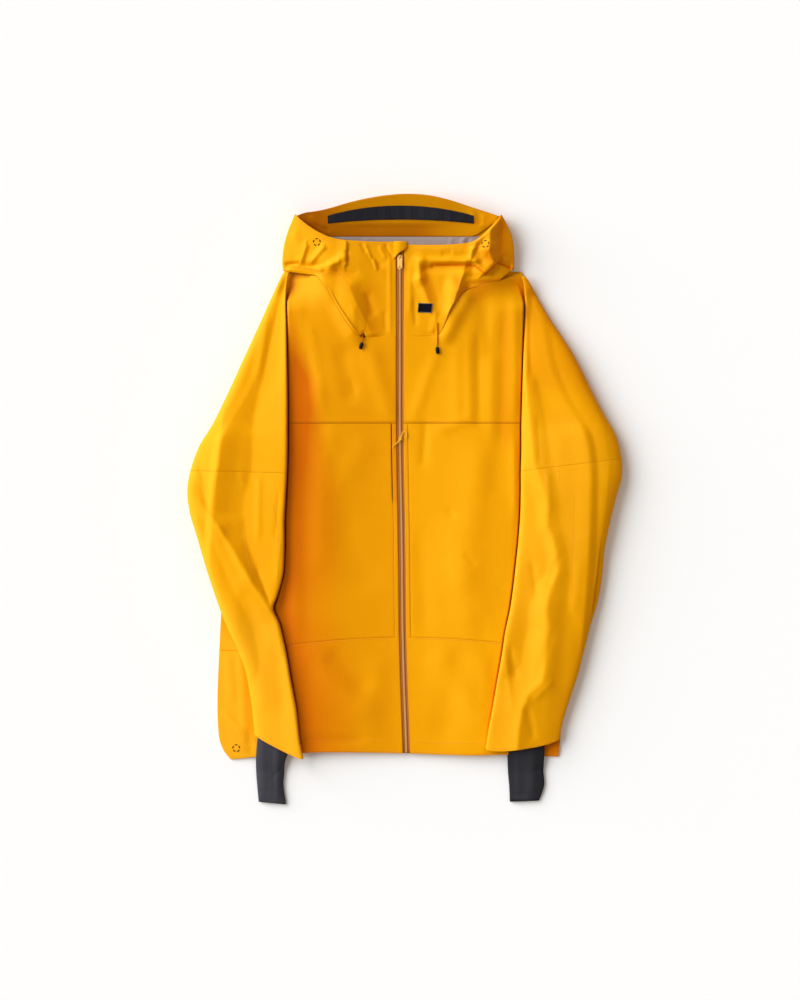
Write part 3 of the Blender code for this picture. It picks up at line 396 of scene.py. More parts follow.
def crown_height(x, y):
    """Bottom of the hood's hollow, climbing to the brim's edge, which drops to its corners."""
    corner = step((abs(x - BRIM_MIDDLE_X) - 60.0) / 105.0)
    edge = ARC_Z + (ARC_CORNER_Z - ARC_Z) * corner
    climb = np.clip((y - CROWN_FOOT_Y) / (arc_y(x) - CROWN_FOOT_Y), 0.0, 1.0) ** 1.25
    floor = back_height(0.0, SHOULDER_Y) + 0.6 * step((y - 340.0) / 50.0)
    return floor + (edge - floor) * climb


def support(x, y, side):
    """Lowest place for a sleeve: the surface, or the front where it lies on the body."""
    y = np.clip(y, -402.0, None)
    outside = OUTWARD[side] * (x - body_edge(y, side))
    over = front_height(np.where(outside > 0, body_edge(y, side), x), y) + 0.5 * CLOTH + LAYER_GAP
    over = over + 2.5 * step((y - 320.0) / 30.0)
    return over * (1.0 - step((outside - 20.0) / 16.0))


# Creases: a line, half width across it, height, and 1 for a sharp ridge or 0 for
# a bell
# Painted shade along each seam fades over this reach from a piece's edge
SEAM_REACH = 1.1          # the tone of a seam fades over this distance from a piece's edge
SWELL_HEIGHT = 5.6        # each front swells from the zip towards the sleeve
SWELL_RUN = 125.0
FRONT_FILL = 0.96         # share of the dip beside a sleeve that the cloth bridges
# Painted shade in a narrow valley of the right front, and over the whole left front
RIGHT_SHADE = 0.35
LEFT_HALF_PAINTED_SHADE = 0.14
CREASE_FADE = 0.16        # share of a crease's length over which each end fades
FRONT_CREASES = table(
    CREASE, (-152, 286, -132, 142, 11, 1.8, 0), (-176, 320, -170, 150, 10, -0.6, 0),
    (-58, 248, -22, 134, 15, 2.2, 0), (-100, 240, -84, 160, 14, -1.8, 0), (-86, 192, -78, 170, 4, -0.9, 1),
    (-160, 40, -156, -226, 12, -0.5, 0), (-134, 122, -128, 74, 12, -0.7, 0),
    (-178, 60, -182, -200, 8, 0.4, 0), (-60, 96, -104, 20, 20, 1.2, 0), (-96, -30, -60, -140, 26, -1.2, 0),
    (-120, -250, -60, -300, 18, -1.6, 0), (-170, -388, -70, -386, 9, -1.6, 0),
    (-150, -260, -166, -380, 14, -0.6, 0), (-40, -250, -56, -380, 22, 1.2, 0),
    (86, 258, 84, 126, 12, 1.2, 0), (102, 262, 104, 128, 8, 1.2, 0), (118, 268, 120, 126, 7, -1.2, 0),
    (158, 300, 156, 90, 8, -1.3, 0), (176, 320, 178, 130, 9, 1.4, 0), (140, 290, 138, 100, 8, 0.9, 0),
    (50, 232, 13, 128, 10, 1.3, 0), (34, 124, 30, 56, 7, -1.5, 0), (52, 110, 108, 132, 10, 1.2, 0),
    (70, -14, 78, -28, 3, -0.9, 1), (96, -86, 112, -104, 6, -0.9, 0), (150, 110, 148, 10, 16, -0.8, 0),
    (176, 96, 178, -20, 7, 1.5, 0), (70, -40, 110, -200, 26, 1.5, 0), (24, -60, 34, -210, 14, -1.0, 0),
    (118, -190, 158, -330, 14, -0.9, 0), (90, -238, 60, -390, 22, -1.4, 0),
    (130, -240, 136, -390, 14, 0.8, 0))
FLANK_CREASES = table(
    CREASE, (-262, -240, -256, -380, 8, 1.6, 0), (-284, -250, -276, -320, 7, 1.0, 0),
    (-290, -340, -262, -372, 5, 1.2, 0), (-250, -372, -246, -408, 5, -1.0, 0),
    (240, -384, 250, -410, 6, 1.0, 0))
SLEEVE_CREASES = {
    "left": table(
        CREASE, (-330, 4, -291, -50, 3, 1.0, 1), (-296, -44, -241, -134, 3, 1.2, 1),
        (-250, -122, -202, -196, 3, 1.0, 1), (-236, -110, -214, -170, 3, -1.4, 1),
        (-232, 34, -234, -60, 5, 1.0, 0), (-200, 10, -206, -60, 3, -0.8, 1),
        (-198, -66, -204, -130, 4, 1.0, 1), (-222, 290, -234, 190, 8, 1.2, 0),
        (-290, -60, -262, -124, 9, -1.4, 0), (-256, -150, -222, -230, 10, -1.0, 0),
        (-236, -262, -226, -330, 12, 0.9, 0), (-206, -236, -192, -340, 13, -1.0, 0),
        (-204, -196, -196, -250, 4, 0.8, 1), (-262, 56, -256, 20, 3, 0.5, 1),
        (-270, 50, -266, 24, 3, -0.5, 1), (-334, 46, -316, 10, 3, 0.6, 1)),
    "right": table(
        CREASE, (214, 250, 236, 70, 18, -0.5, 0), (268, 196, 306, 60, 20, 0.7, 0),
        (322, 116, 332, 40, 12, -0.5, 0), (212, 130, 216, 60, 4, -0.7, 1), (228, 44, 232, -20, 4, 1.2, 1),
        (246, -90, 226, -150, 4, -1.2, 1), (236, -206, 214, -286, 7, -1.0, 0),
        (254, -170, 244, -300, 16, -1.2, 0), (168, -236, 178, -286, 7, -1.6, 0),
        (160, -250, 172, -330, 5, 1.0, 1), (196, -330, 206, -372, 6, -1.4, 0),
        (204, -100, 212, -160, 6, -1.2, 0), (236, -290, 208, -316, 4, 1.2, 1),
        (278, -100, 270, -180, 10, 1.0, 0)),
}
# Crests on top of a sleeve: each falls away to its left and right by a slope, and a valley lies
# where two meet. Places are along the crest, from the shoulder down.
CRESTS = {
    "left": (
        (0.36, 0.24, ((-196, 352), (-218, 304), (-247, 240), (-270, 192), (-289, 144), (-294, 96),
                      (-298, 56), (-305, 24), (-309, -10))),
        (0.22, 0.34, ((-186, 364), (-187, 330), (-188, 280), (-187, 200), (-187, 120), (-188, 40),
                      (-189, -20))),
        (0.17, 0.34, ((-189, -20), (-190, -96), (-193, -144), (-210, -168))),
        (0.15, 0.28, ((-345, 20), (-335, 0), (-319, -19), (-298, -43))),
        (0.16, 0.44, ((-298, -43), (-274, -80), (-244, -133), (-226, -154), (-212, -168))),
        (0.15, 0.30, ((-212, -168), (-200, -190), (-192, -240), (-183, -304), (-173, -360),
                      (-164, -411))),
        (0.36, 0.20, ((-332, -32), (-321, -80), (-308, -120), (-294, -160), (-279, -200), (-264, -256))),
    ),
    "right": (
        (0.38, 0.42, ((190, 352), (190, 272), (191, 216), (194, 186))),
        (0.38, 0.22, ((194, 186), (200, 133), (204, 90), (207, 58),
                      (218, 32), (227, 0), (228, -43), (236, -59), (243, -86), (244, -115), (231, -144),
                      (226, -176), (230, -205), (226, -231), (224, -264), (220, -291), (198, -310),
                      (188, -331), (183, -360), (180, -392))),
        (0.06, 0.16, ((258, 248), (297, 168), (317, 120), (327, 64), (322, 0), (315, -56))),
    ),
}
CREST_SOFT = 1.2
SLEEVE_HEAD = {           # first rows of a sleeve, narrower than the solid's
    "left": {"in_x": (-184.0, -187.5, -190.0), "in_y": (365.0, 351.0, 317.0)},
    "right": {"out_x": (193.0, 201.0), "out_y": (359.0, 347.0), "in_x": (187.5, 191.0),
              "in_y": (357.5, 344.0)},
}
HOOD_CREASES = {
    "left": table(
        CREASE, (-92, 398, -90, 380, 4, -2.2, 0), (-63, 408, -52, 384, 2.2, 1.3, 0),
        (-50, 384, -44, 368, 2.5, 1.8, 0), (-31, 408, -20, 388, 3, -1.6, 0), (-40, 404, -30, 386, 3, 1.2, 0),
        (-70, 408, -62, 396, 3, -1.0, 0), (-60, 330, -50, 296, 7, -1.6, 0), (-32, 300, -30, 270, 4, -0.9, 0),
        (-24, 400, -23, 270, 3, 0.8, 0), (-84, 306, -60, 268, 9, 1.2, 0), (-176, 430, -168, 396, 7, 1.0, 0)),
    "right": table(
        CREASE, (20, 400, 104, 397, 7, 1.4, 0), (60, 392, 76, 394, 6, -0.9, 0), (10, 380, 8, 300, 4, 1.0, 0),
        (16, 320, 18, 280, 4, -1.2, 0), (50, 300, 44, 268, 5, 1.2, 0), (110, 404, 104, 384, 3, 1.4, 0),
        (30, 262, 52, 266, 4, -1.0, 0), (148, 440, 158, 400, 8, -1.2, 0)),
}
# Pleats: a line drawn upwards, its flank to the left, its flank to the right, and its height
HOOD_PLEATS = {
    "left": table(
        "x1 y1 x2 y2 left right height", (-192, 377, -168, 379, 5, 7, -2.6),
        (-166, 379, -157, 405, 12, 6, 2.8), (-148, 381, -130, 402, 9, 7, 2.8),
        (-184, 369.5, -134, 368, 5, 7, 2.2), (-136, 368, -106, 380, 9, 6, 2.4),
        (-94, 376, -93, 408, 16, 3.5, 3.0), (-52, 264, -88, 338, 26, 20, 3.2),
        (-106, 366, -80, 362, 12, 16, -2.0), (-122, 334, -76, 264, 3, 18, 2.0)),
    "right": table(
        "x1 y1 x2 y2 left right height", (141, 380, 135, 400, 16, 16, 6.5),
        (135, 400, 137, 430, 18, 20, 8.5), (137, 430, 155, 454, 16, 15, 7.0),
        (103, 380, 112, 402, 14, 5, 2.6), (112, 402, 128, 430, 12, 5, 2.6),
        (46, 374.5, 112, 376.5, 5, 7, -4.6), (112, 377, 129, 363, 14, 3.5, 6.0),
        (129, 363, 148, 382, 17, 3.2, 5.5), (148, 380, 172, 371, 9, 6, -6.0),
        (24, 352, 23, 382, 14, 14, 4.4), (44, 304, 24, 352, 13, 16, 4.4), (74, 300, 86, 336, 26, 18, 6.0),
        (86, 336, 95, 364, 26, 14, 6.0), (104, 352, 148, 354, 6, 9, 1.6)),
}
# Painted shade in the hood's folds: a line, half width across it and strength
HOOD_PAINTED_SHADE = {
    "left": table(
        "x1 y1 x2 y2 width strength", (-92, 402, -91, 384, 3.5, 0.35), (-52, 330, -46, 280, 17, 0.22),
        (-128, 364, -94, 360, 9, 0.3), (-176, 372, -136, 366, 2.2, 0.45), (-40, 372, -34, 366, 8, 0.2),
        (-104, 350, -80, 334, 10, 0.2)),
    "right": table(
        "x1 y1 x2 y2 width strength", (112, 375, 129, 360.6, 1.7, 0.95), (129, 360.6, 148, 379, 1.7, 0.95),
        (148, 379, 173, 370, 2.2, 0.9), (50, 376, 112, 374, 1.8, 0.85), (34, 366, 42, 322, 8.5, 0.4),
        (156, 444, 154, 392, 12, 0.5), (98, 338, 104, 322, 12, 0.5), (106, 347, 152, 351, 2.4, 0.5),
        (82, 352, 88, 326, 6, 0.45), (137, 382, 134, 396, 12, 0.5), (60, 262, 84, 284, 14, 0.2)),
}
LINING_CREASES = table(
    CREASE, (96, 420, 88, 404, 3, 1.0, 0), (104, 421, 98, 400, 3, -0.9, 0), (76, 420, 72, 402, 4, 0.7, 0),
    (-100, 420, -92, 398, 5, 0.8, 0), (-20, 416, 30, 412, 4, -0.6, 0), (-60, 420, -66, 400, 5, 0.6, 0))
FACING_CREASES = table(
    CREASE, (-150, 452, -128, 436, 5, 1.4, 0), (-142, 440, -120, 430, 4, -1.2, 0),
    (106, 470, 112, 446, 3.5, 1.2, 0), (116, 462, 122, 440, 4, -1.0, 0), (-80, 436, 60, 434, 7, -0.9, 0),
    (128, 458, 124, 436, 4, 0.9, 0))
BAND_WRINKLES = table(
    "x width height", (-112, 4, 0.2), (-88, 5, -0.25), (-60, 3, 0.3), (-42, 3, -0.35), (-31, 2.4, 0.45),
    (-20, 2.6, -0.4), (-9, 2.2, 0.5), (1, 2.4, -0.45), (10, 2.2, 0.5), (21, 2.6, -0.4), (31, 2.2, 0.5),
    (41, 2.4, -0.4), (52, 3, 0.4), (64, 2.6, -0.45), (73, 2.2, 0.5), (83, 2.6, -0.4), (93, 3, 0.35),
    (103, 3, -0.3))
GAITER_CREASES = {
    "left": table(
        CREASE, (-226, -350, -224, -480, 5, 1.2, 0), (-212, -372, -208, -486, 4, -1.0, 0),
        (-200, -360, -204, -470, 5, 0.9, 0), (-196, -430, -214, -446, 3, -0.8, 0),
        (-236, -460, -220, -470, 4, -0.6, 0)),
    "right": table(
        CREASE, (180, -352, 182, -480, 5, 1.1, 0), (196, -380, 194, -470, 5, -0.9, 0),
        (210, -360, 206, -470, 5, 0.9, 0), (170, -474, 214, -470, 4, -0.6, 0),
        (214, -430, 198, -444, 3, -0.7, 0)),
}
PLEAT_SOFT = 0.7
CREST_MEET = 0.45         # softness of the valley between two crests
# Painted light and shade: cloth that leans towards the key light is painted paler, away from it deeper
PAINTED_LIGHT_WAY = (-0.915, 0.403)   # cloth that leans this way shows paler, away from it deeper
PAINTED_LIGHT_RANGE = 0.42
# Painted shade along the seam between each placket and its middle panel, deeper at the left pocket's mouth
PLACKET_EDGE_PAINTED_SHADE = {"left": 0.8, "right": 0.35}
# A sleeve's roundness at its inner and outer fold: power of the sine that gives its height
FOLD_POWERS = {"left": (0.08, 0.4), "right": (0.3, 0.4)}
HOOD_TUCK = ((-1.0, 0.62), (3.5, 0.3), (9.0, 0.16))   # inward, and share of the outline's height
# Painted shade in the left sleeve's shadow: where it begins to fade, over which reach, and its strength
LEFT_SHADE = table(
    "y inner reach", (-400, 4, 105), (-290, 8, 120), (-190, 14, 100), (-100, 18, 95), (0, 20, 92),
    (80, 26, 46), (144, 34, 24), (192, 30, 20), (240, 6, 26), (304, 0, 12))
LEFT_SHADE_DEPTH = table(
    "y strength", (-400, 0.84), (0, 0.8), (80, 0.92), (240, 0.9), (300, 0.5), (340, 0.3))
# Crest of the right sleeve, and the painted light and shade outside it
RIGHT_CREST = table("y x", (352, 186), (186, 194), (133, 200), (58, 207), (0, 227), (-400, 230))
OUTER_PAINTED_LIGHT_AND_SHADE = table("y tone", (-200, -0.25), (-100, -0.45), (90, -0.45), (190, 0.2))
# Chin guard: lower and upper edge, and its rise over the collar
GUARD = table(
    "x_low y_low x_high y_high rise", (-17.6, 384.5, -17.6, 412.3, 1.9), (-14.5, 387.6, -13.2, 412.4, 4.6),
    (-11.0, 391.6, -8.7, 412.5, 5.9), (-6.0, 395.6, -4.3, 412.5, 5.9), (0.6, 399.6, 0.2, 412.5, 4.6),
    (4.4, 403.0, 4.8, 412.3, 2.6))
TOGGLE_FORM = table(
    "along swell", (0.0, 0.0), (0.0, 0.42), (0.02, 0.5), (0.06, 0.62), (0.12, 0.76), (0.2, 0.9), (0.3, 0.98),
    (0.4, 1.0), (0.5, 0.98), (0.6, 1.0), (0.7, 0.98), (0.8, 0.92), (0.88, 0.85), (0.94, 0.74), (0.98, 0.6),
    (1.0, 0.45), (1.0, 0.0))
# Rings of points from a tab's hole to its outline: share of the way, and drop from its face
TAB_RINGS = table("share drop", (0.0, 0.3), (0.12, 0.0), (0.5, 0.0), (0.9, 0.0), (1.0, 0.3))
ARC_TAPER = 0.85 * np.array([0.3, 0.8, 1.0, 1.0, 1.0, 1.0, 1.0, 0.8, 0.3])
RINGS = (("left", -140.0, 411.5), ("right", 128.8, 408.0), ("flank", -270.0, -398.0))
SLEEVE_LINES = {
    "left": (((-210, -6), (-203, -40), (-201.4, -67), (-202.4, -102)),
             ((-258, -33), (-251, -78), (-243, -128))),
    "right": (((226, 50), (227, 20), (229, -12), (231, -29)),
              ((270, 8), (268.5, -50), (267, -104), (266, -152))),
}
ELBOW_DARTS = {"left": (((-268, 42), (-265, 22)), ((-259, 43), (-257, 26))),
               "right": (((246, 50), (247, 30)),)}
# Cloths: key, name, colours (first, second, painted seam shade, painted shade), roughness, then
# threads in a metre with thread and crinkle relief in metres, and what differs from the other cloths
CLOTHS = (
    # Shell: its last pair of colours is painted light towards the key light and painted shade away from it
    ("shell", "shell_cloth",
     ((0.86, 0.358, 0.0006), (0.89, 0.378, 0.001), (0.66, 0.20, 0.001), (0.70, 0.15, 0.0005)),
     0.55, (), {"seam_shade": 0.3, "gloss": 0.035,
                "lean_painted_light": ((0.93, 0.412, 0.010), (0.80, 0.292, 0.0002))}),
    # Facing: the shell's colours a little deeper, for the cloth's inner side and for painted shade inside
    # the hood
    ("facing", "facing_cloth",
     ((0.80, 0.325, 0.0006), (0.84, 0.35, 0.001), (0.42, 0.12, 0.001), (0.36, 0.075, 0.0004)),
     0.55, (), {}),
    ("charcoal", "charcoal_cloth",
     ((0.056, 0.055, 0.067), (0.070, 0.068, 0.080), (0.02, 0.02, 0.025), (0.010, 0.010, 0.012)),
     0.8, (5200.0, 0.0001, 0.0003), {}),
    ("band", "band_cloth",
     ((0.020, 0.021, 0.027), (0.028, 0.029, 0.036), (0.01, 0.01, 0.014), (0.01, 0.01, 0.014)),
     0.7, (5200.0, 0.0001, 0.0002), {}),
    ("lining", "lining_cloth",
     ((0.42, 0.34, 0.32), (0.5, 0.42, 0.39), (0.2, 0.16, 0.16), (0.2, 0.15, 0.14)),
     0.42, (5200.0, 0.00006, 0.0003), {}),
    ("tape", "zip_tape",
     ((0.58, 0.20, 0.03), (0.66, 0.25, 0.045), (0.16, 0.035, 0.01), (0.3, 0.08, 0.02)),
     0.7, (7000.0, 0.00008, 0.0001), {"seam_shade": 0.85}),
    ("label", "label_cloth",
     ((0.003, 0.004, 0.009), (0.006, 0.007, 0.012), (0.006, 0.006, 0.008), (0.006, 0.006, 0.008)),
     0.75, (6000.0, 0.00006, 0.0001), {}),
    ("cord", "cord_braid",
     ((0.55, 0.14, 0.006), (0.66, 0.2, 0.01), (0.4, 0.1, 0.0), (0.4, 0.1, 0.0)),
     0.7, (5000.0, 0.0002, 0.0), {}),
    ("cord_dark", "cord_braid_dark",
     ((0.52, 0.17, 0.008), (0.6, 0.21, 0.01), (0.05, 0.02, 0.01), (0.05, 0.02, 0.01)),
     0.7, (5000.0, 0.0002, 0.0), {}),
    ("cord_bright", "cord_braid_yellow",
     ((0.95, 0.56, 0.03), (0.98, 0.64, 0.06), (0.5, 0.2, 0.0), (0.5, 0.2, 0.0)),
     0.65, (5000.0, 0.0002, 0.0), {}),
)
# Hard parts and threads: key, name, colour, roughness, grain, gloss
HARD_PARTS = (
    ("coil", "zip_coil", (0.92, 0.55, 0.20), 0.45, 2000.0),
    ("hard", "pull_enamel", (0.90, 0.48, 0.12), 0.42),
    ("toggle", "toggle_plastic", (0.003, 0.003, 0.005), 0.4, 1200.0, 0.12),
    ("thread", "shell_thread", (0.74, 0.25, 0.004), 0.6, 3000.0),
    ("thread_grey", "grey_thread", (0.28, 0.28, 0.3), 0.6, 3000.0),
    ("thread_dark", "dark_thread", (0.010, 0.004, 0.001), 0.6, 3000.0, 0.1),
)


def relief(creases, x, y):
    """Sum of creases. Across its line each is a bell, or a ridge that falls off like exp(-distance)
    with a rounded top; along the line it fades in and out at the ends."""
    total = np.zeros(np.broadcast(x, y).shape)
    for x1, y1, x2, y2, width, height, sharp in zip(*creases.values()):
        length = math.hypot(x2 - x1, y2 - y1)
        along = ((x - x1) * (x2 - x1) + (y - y1) * (y2 - y1)) / length ** 2
        off = beside(x, y, (x1, y1, x2, y2)) / (length * width)
        fade = (step((along + CREASE_FADE) / (2 * CREASE_FADE))
                * step((1.0 + CREASE_FADE - along) / (2 * CREASE_FADE)))
        across = np.exp(0.3 - np.sqrt(off ** 2 + 0.09)) if sharp else np.exp(-off ** 2)
        total = total + height * fade * across
    return total


def pleated(pleats, x, y):
    """Sum of pleats. Each is a crisp ridge whose flanks fall almost straight, (1 - distance over
    flank) to the power 1.5, with its own flank on either side; it fades at its line's ends."""
    total = np.zeros(np.broadcast(x, y).shape)
    for *line, left, right, height in zip(*pleats.values()):
        flank = np.where(beside(x, y, line) > 0, right, left)
        away = np.sqrt(distance(x, y, line) ** 2 + PLEAT_SOFT ** 2) - PLEAT_SOFT
        total = total + height * np.clip(1.0 - away / flank, 0.0, 1.0) ** 1.5
    return total


def crest_drop(crests, x, y):
    """How far a sleeve's top has fallen at a place: the least of the falls from its crests, each
    a slope times the distance from the nearest part of the crest."""
    total = np.zeros(np.broadcast(x, y).shape)
    for left, right, places in crests:
        lines = [(*first, *second) for first, second in zip(places[:-1], places[1:])]
        away = np.stack([distance(x, y, line) for line in lines])
        side = np.stack([beside(x, y, line) for line in lines])
        nearest = np.argmin(away, axis=0)[None]
        away = np.take_along_axis(away, nearest, 0)[0]
        slope = np.where(np.take_along_axis(side, nearest, 0)[0] > 0, left, right)
        fall = slope * (np.sqrt(away ** 2 + CREST_SOFT ** 2) - CREST_SOFT)
        total = total + np.exp(-fall / CREST_MEET)
    return -CREST_MEET * np.log(total)


def spread(length, count):
    """Shares from 0 to 1 along a side for a number of lines, close near both ends for the roll
    of the edge."""
    inner = np.linspace(NEAR_EDGE[-1], length - NEAR_EDGE[-1], count - 2 * (len(NEAR_EDGE) - 1))
    return np.concatenate([NEAR_EDGE[:-1], inner, length - NEAR_EDGE[-2::-1]]) / length


def front_shares(outer_x, inner_x, fold_x, under, beyond):
    """Shares across a front for each row from its outer edge to the zip: close ones at both
    edges and in lines that follow the fold of the sleeve lying on it."""
    width = abs(inner_x - outer_x)[:, None]
    fold = np.clip(abs(fold_x - outer_x), 12.0, None)[:, None]
    start, clear = NEAR_EDGE[-1], fold + FOLD_CLEAR
    low = start + (fold - 2.5 - start) * np.linspace(0.0, 1.0, under)
    far = clear + (width - start - fold - FOLD_CLEAR) * np.linspace(0.0, 1.0, beyond)
    return np.concatenate([np.broadcast_to(NEAR_EDGE[:-1], (len(width), 4)), low, fold + FOLD_LINES, far,
                           width - NEAR_EDGE[-2::-1]], axis=1) / width


def roll(shares, length, low=1.0, high=1.0, depth=0.5, reach=1.5):
    """Drop of the cloth at a seam: a half bell at each end of a side, deepest at the seam."""
    at = shares * length
    return depth * (low * np.exp(-(at / reach) ** 2) + high * np.exp(-((length - at) / reach) ** 2))


# Meshes

def finish_mesh(name, verts, faces, look, nodes, body="jacket", uv=None, tones=None):
    """A piece from its points and faces, with its finish, its flat coordinates and its tones; it
    rides on a body and stands in for the solids named."""
    mesh = bpy.data.meshes.new(name)
    mesh.from_pydata((np.asarray(verts, float) * MM).tolist(), [], faces)
    mesh.update()
    piece = bpy.data.objects.new(name, mesh)
    bpy.context.scene.collection.objects.link(piece)
    mesh.materials.append(look)
    if uv is not None:
        layer = mesh.uv_layers.new(name="cloth")
        corners = np.empty(len(mesh.loops), int)
        mesh.loops.foreach_get("vertex_index", corners)
        layer.data.foreach_set("uv", (uv[corners] * MM).ravel())
    for tone, values in (tones or {}).items():
        mesh.attributes.new(tone, "FLOAT", "POINT").data.foreach_set("value", values.astype(np.float32))
    mesh.shade_smooth()
    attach(piece, body)
    if nodes:
        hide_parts(*nodes)
    return piece


def ring_quads(index, flip=False):
    """Faces between rings of points given by their numbers, a row for each ring."""
    after = np.roll(index, -1, axis=1)
    corners = ((index[:-1], after[:-1], after[1:], index[1:]) if flip
               else (index[:-1], index[1:], after[1:], after[:-1]))
    return np.stack(corners, -1).reshape(-1, 4)


def closed_faces(count, turns, flip=False):
    """Faces of a number of rings and of the two poles that follow their points."""
    index = np.arange(count * turns).reshape(count, turns)
    after = np.roll(index, -1, axis=1)
    poles = np.full(turns, count * turns)
    near = np.stack([poles, after[0], index[0]] if flip else [poles, index[0], after[0]], -1)
    far = np.stack([poles + 1, index[-1], after[-1]] if flip else [poles + 1, after[-1], index[-1]], -1)
    return ring_quads(index, flip).tolist() + near.tolist() + far.tolist()


def surface_normals(middle, outward):
    """Unit normals of a grid of points, turned so that the one at its middle looks outward."""
    normal = np.cross(np.gradient(middle, axis=1), np.gradient(middle, axis=0))
    normal /= np.maximum(np.linalg.norm(normal, axis=-1), 1e-9)[..., None]
    r, c = middle.shape[0] // 2, middle.shape[1] // 2
    return normal * np.sign(np.dot(normal[r, c], outward(middle[r, c])))


def ring_of(index):
    """Border of a grid of numbers, in order round it."""
    return np.concatenate([index[0, :-1], index[:-1, -1], index[-1, :0:-1], index[:0:-1, 0]])


def flat_coordinates(middle):
    """Lengths along the cloth of a grid's columns and rows, from its first row and column."""
    steps = np.linalg.norm(np.diff(middle, axis=0), axis=-1)
    along = np.concatenate([np.zeros((1, middle.shape[1])), np.cumsum(steps, axis=0)])
    steps = np.linalg.norm(np.diff(middle, axis=1), axis=-1)
    return along, np.concatenate([np.zeros((middle.shape[0], 1)), np.cumsum(steps, axis=1)], axis=1)


def cloth_tones(normal, shade, along, across, edges):
    """Painted tones of each point. Seam: painted shade along the seams, a bell from each edge times
    that edge's share. Shade: the painted shade handed in; values below 0 are painted light. Lean:
    painted light where the cloth leans towards the key light and painted shade where it leans away,
    with the painted light handed in added."""
    sides = (along, along[-1:] - along, across, across[:, -1:] - across)
    seam = np.max([share * np.exp(-(near / SEAM_REACH) ** 2) for share, near in zip(edges, sides)], axis=0)
    shade = np.zeros(seam.shape) if shade is None else shade + 0.0 * seam
    lean_painted_light = np.clip((normal[..., 1] * PAINTED_LIGHT_WAY[1] + normal[..., 0] * PAINTED_LIGHT_WAY[0]) / PAINTED_LIGHT_RANGE, -1.0, 1.0)
    lean_painted_light = np.clip(lean_painted_light + np.clip(-shade, 0.0, 1.0), -1.0, 1.0)
    return {"seam": seam, "shade": np.clip(shade, 0.0, 1.0), "lean_painted_light": lean_painted_light}


def cloth_sheet(name, middle, thickness, look, outward=None, upright=0.0, shade=None,
                edges=(1.0, 1.0, 1.0, 1.0)):
    """Wall of cloth round a grid of middle points, in place of the solid of the same name. Outer
    and inner points are half a thickness along the normal, which turns upright by a share, and
    one ring between them stands out at the edge."""
    rows, cols = middle.shape[:2]
    normal = surface_normals(middle, outward or (lambda point: UP))
    normal = normal + np.asarray(upright)[..., None] * (UP - normal)
    outer, inner = middle + 0.5 * thickness * normal, middle - 0.5 * thickness * normal
    stand = np.zeros_like(middle)
    stand[0] += middle[0] - middle[1]
    stand[-1] += middle[-1] - middle[-2]
    stand[:, 0] += middle[:, 0] - middle[:, 1]
    stand[:, -1] += middle[:, -1] - middle[:, -2]
    count = rows * cols
    index = np.arange(count).reshape(rows, cols)
    border = ring_of(index)
    push = stand.reshape(-1, 3)[border]
    push /= np.maximum(np.linalg.norm(push, axis=-1), 1e-9)[:, None]
    lip = middle.reshape(-1, 3)[border] + LIP * push
    lips = np.arange(len(border)) + 2 * count
    quads = np.stack([index[:-1, :-1], index[:-1, 1:], index[1:, 1:], index[1:, :-1]], -1).reshape(-1, 4)
    after = np.roll(border, -1)
    faces = np.concatenate([
        quads, quads[:, ::-1] + count,
        np.stack([border, lips, np.roll(lips, -1), after], -1),
        np.stack([lips, border + count, after + count, np.roll(lips, -1)], -1)])
    r, c = rows // 2, cols // 2
    turn = np.cross(middle[r, c + 1] - middle[r, c], middle[r + 1, c] - middle[r, c])
    if np.dot(turn, normal[r, c]) < 0:
        faces = faces[:, ::-1]
    along, across = flat_coordinates(middle)
    flat = np.stack([across, along], -1).reshape(-1, 2)
    tones = {key: np.concatenate([tone.ravel(), tone.ravel(), tone.ravel()[border]])
             for key, tone in cloth_tones(normal, shade, along, across, edges).items()}
    piece = finish_mesh(name + "_cloth", np.concatenate([outer.reshape(-1, 3), inner.reshape(-1, 3), lip]),
                        faces.tolist(), look, [name], uv=np.concatenate([flat, flat, flat[border]]),
                        tones=tones)
    return piece


def panel_plan(low, high, side_low, side_high, along, across):
    """Plan of a panel between two seams (y as functions of x) and two edges (x of y)."""
    along, across = along[:, None], np.atleast_2d(across)
    ends = []
    for edge in (side_low, side_high):
        x = edge(0.0) + 0.0 * along
        for _ in range(20):
            x = edge(low(x) + (high(x) - low(x)) * along)
        ends.append(x)
    x = ends[0] + (ends[1] - ends[0]) * across
    return x, low(x) + (high(x) - low(x)) * along


def stack(x, y, z):
    """Points from three arrays, each spread to the shape that they share."""
    return np.stack(np.broadcast_arrays(x, y, z), axis=-1).astype(float)


# Body

def lower_seam(x):
    """Y of the seam between hem panels and middle panels, dropping to the sides."""
    return LOWER_SEAM_Y - LOWER_SEAM_DROP * np.minimum(abs(x) / 190.0, 1.3) ** 2


def hem(x):
    """Y of the lower edge."""
    return read(HEM, "x", x, "y")


def front_surface(x, y):
    """The solids' front with a swell to each side of the zip, the dip beside the sleeves bridged,
    the hem's turned band and its finer creases, which fade out under the sleeves."""
    hem_band = 0.5 * (1.0 - step((y - hem(x) - HEM_WIDTH) / 2.0))
    swell = (SWELL_HEIGHT * step((abs(x - zip_x(y)) - 8.0) / SWELL_RUN)
             * (1.0 - step((y - 150.0) / 100.0)) * step((FLANK_OUT - abs(x)) / (0.4 * FLANK_RUN)))
    gutter = np.minimum(x - sleeve_fold_x(y, "left"), sleeve_fold_x(y, "right") - x)
    filled = (FRONT_FILL * step((gutter - 0.8) / 2.8) * (puff(y) - UNDER_SLEEVE_Z)
              * (1.0 - chest_share(x)) * (1.0 - step((y - 300.0) / 50.0)))
    return (front_height(x, y) + filled
            + step((FLANK_OUT + 4.0 - abs(x)) / 34.0) * relief(FRONT_CREASES, x, y)
            + step((abs(x) - 236.0) / 8.0) * relief(FLANK_CREASES, x, y) + hem_band + swell)


def sleeve_fold_x(y, side):
    """X at which a sleeve's inner fold lies over the front."""
    data = SLEEVE[side]
    return np.interp(-y, -data["in_y"], data["in_x"])


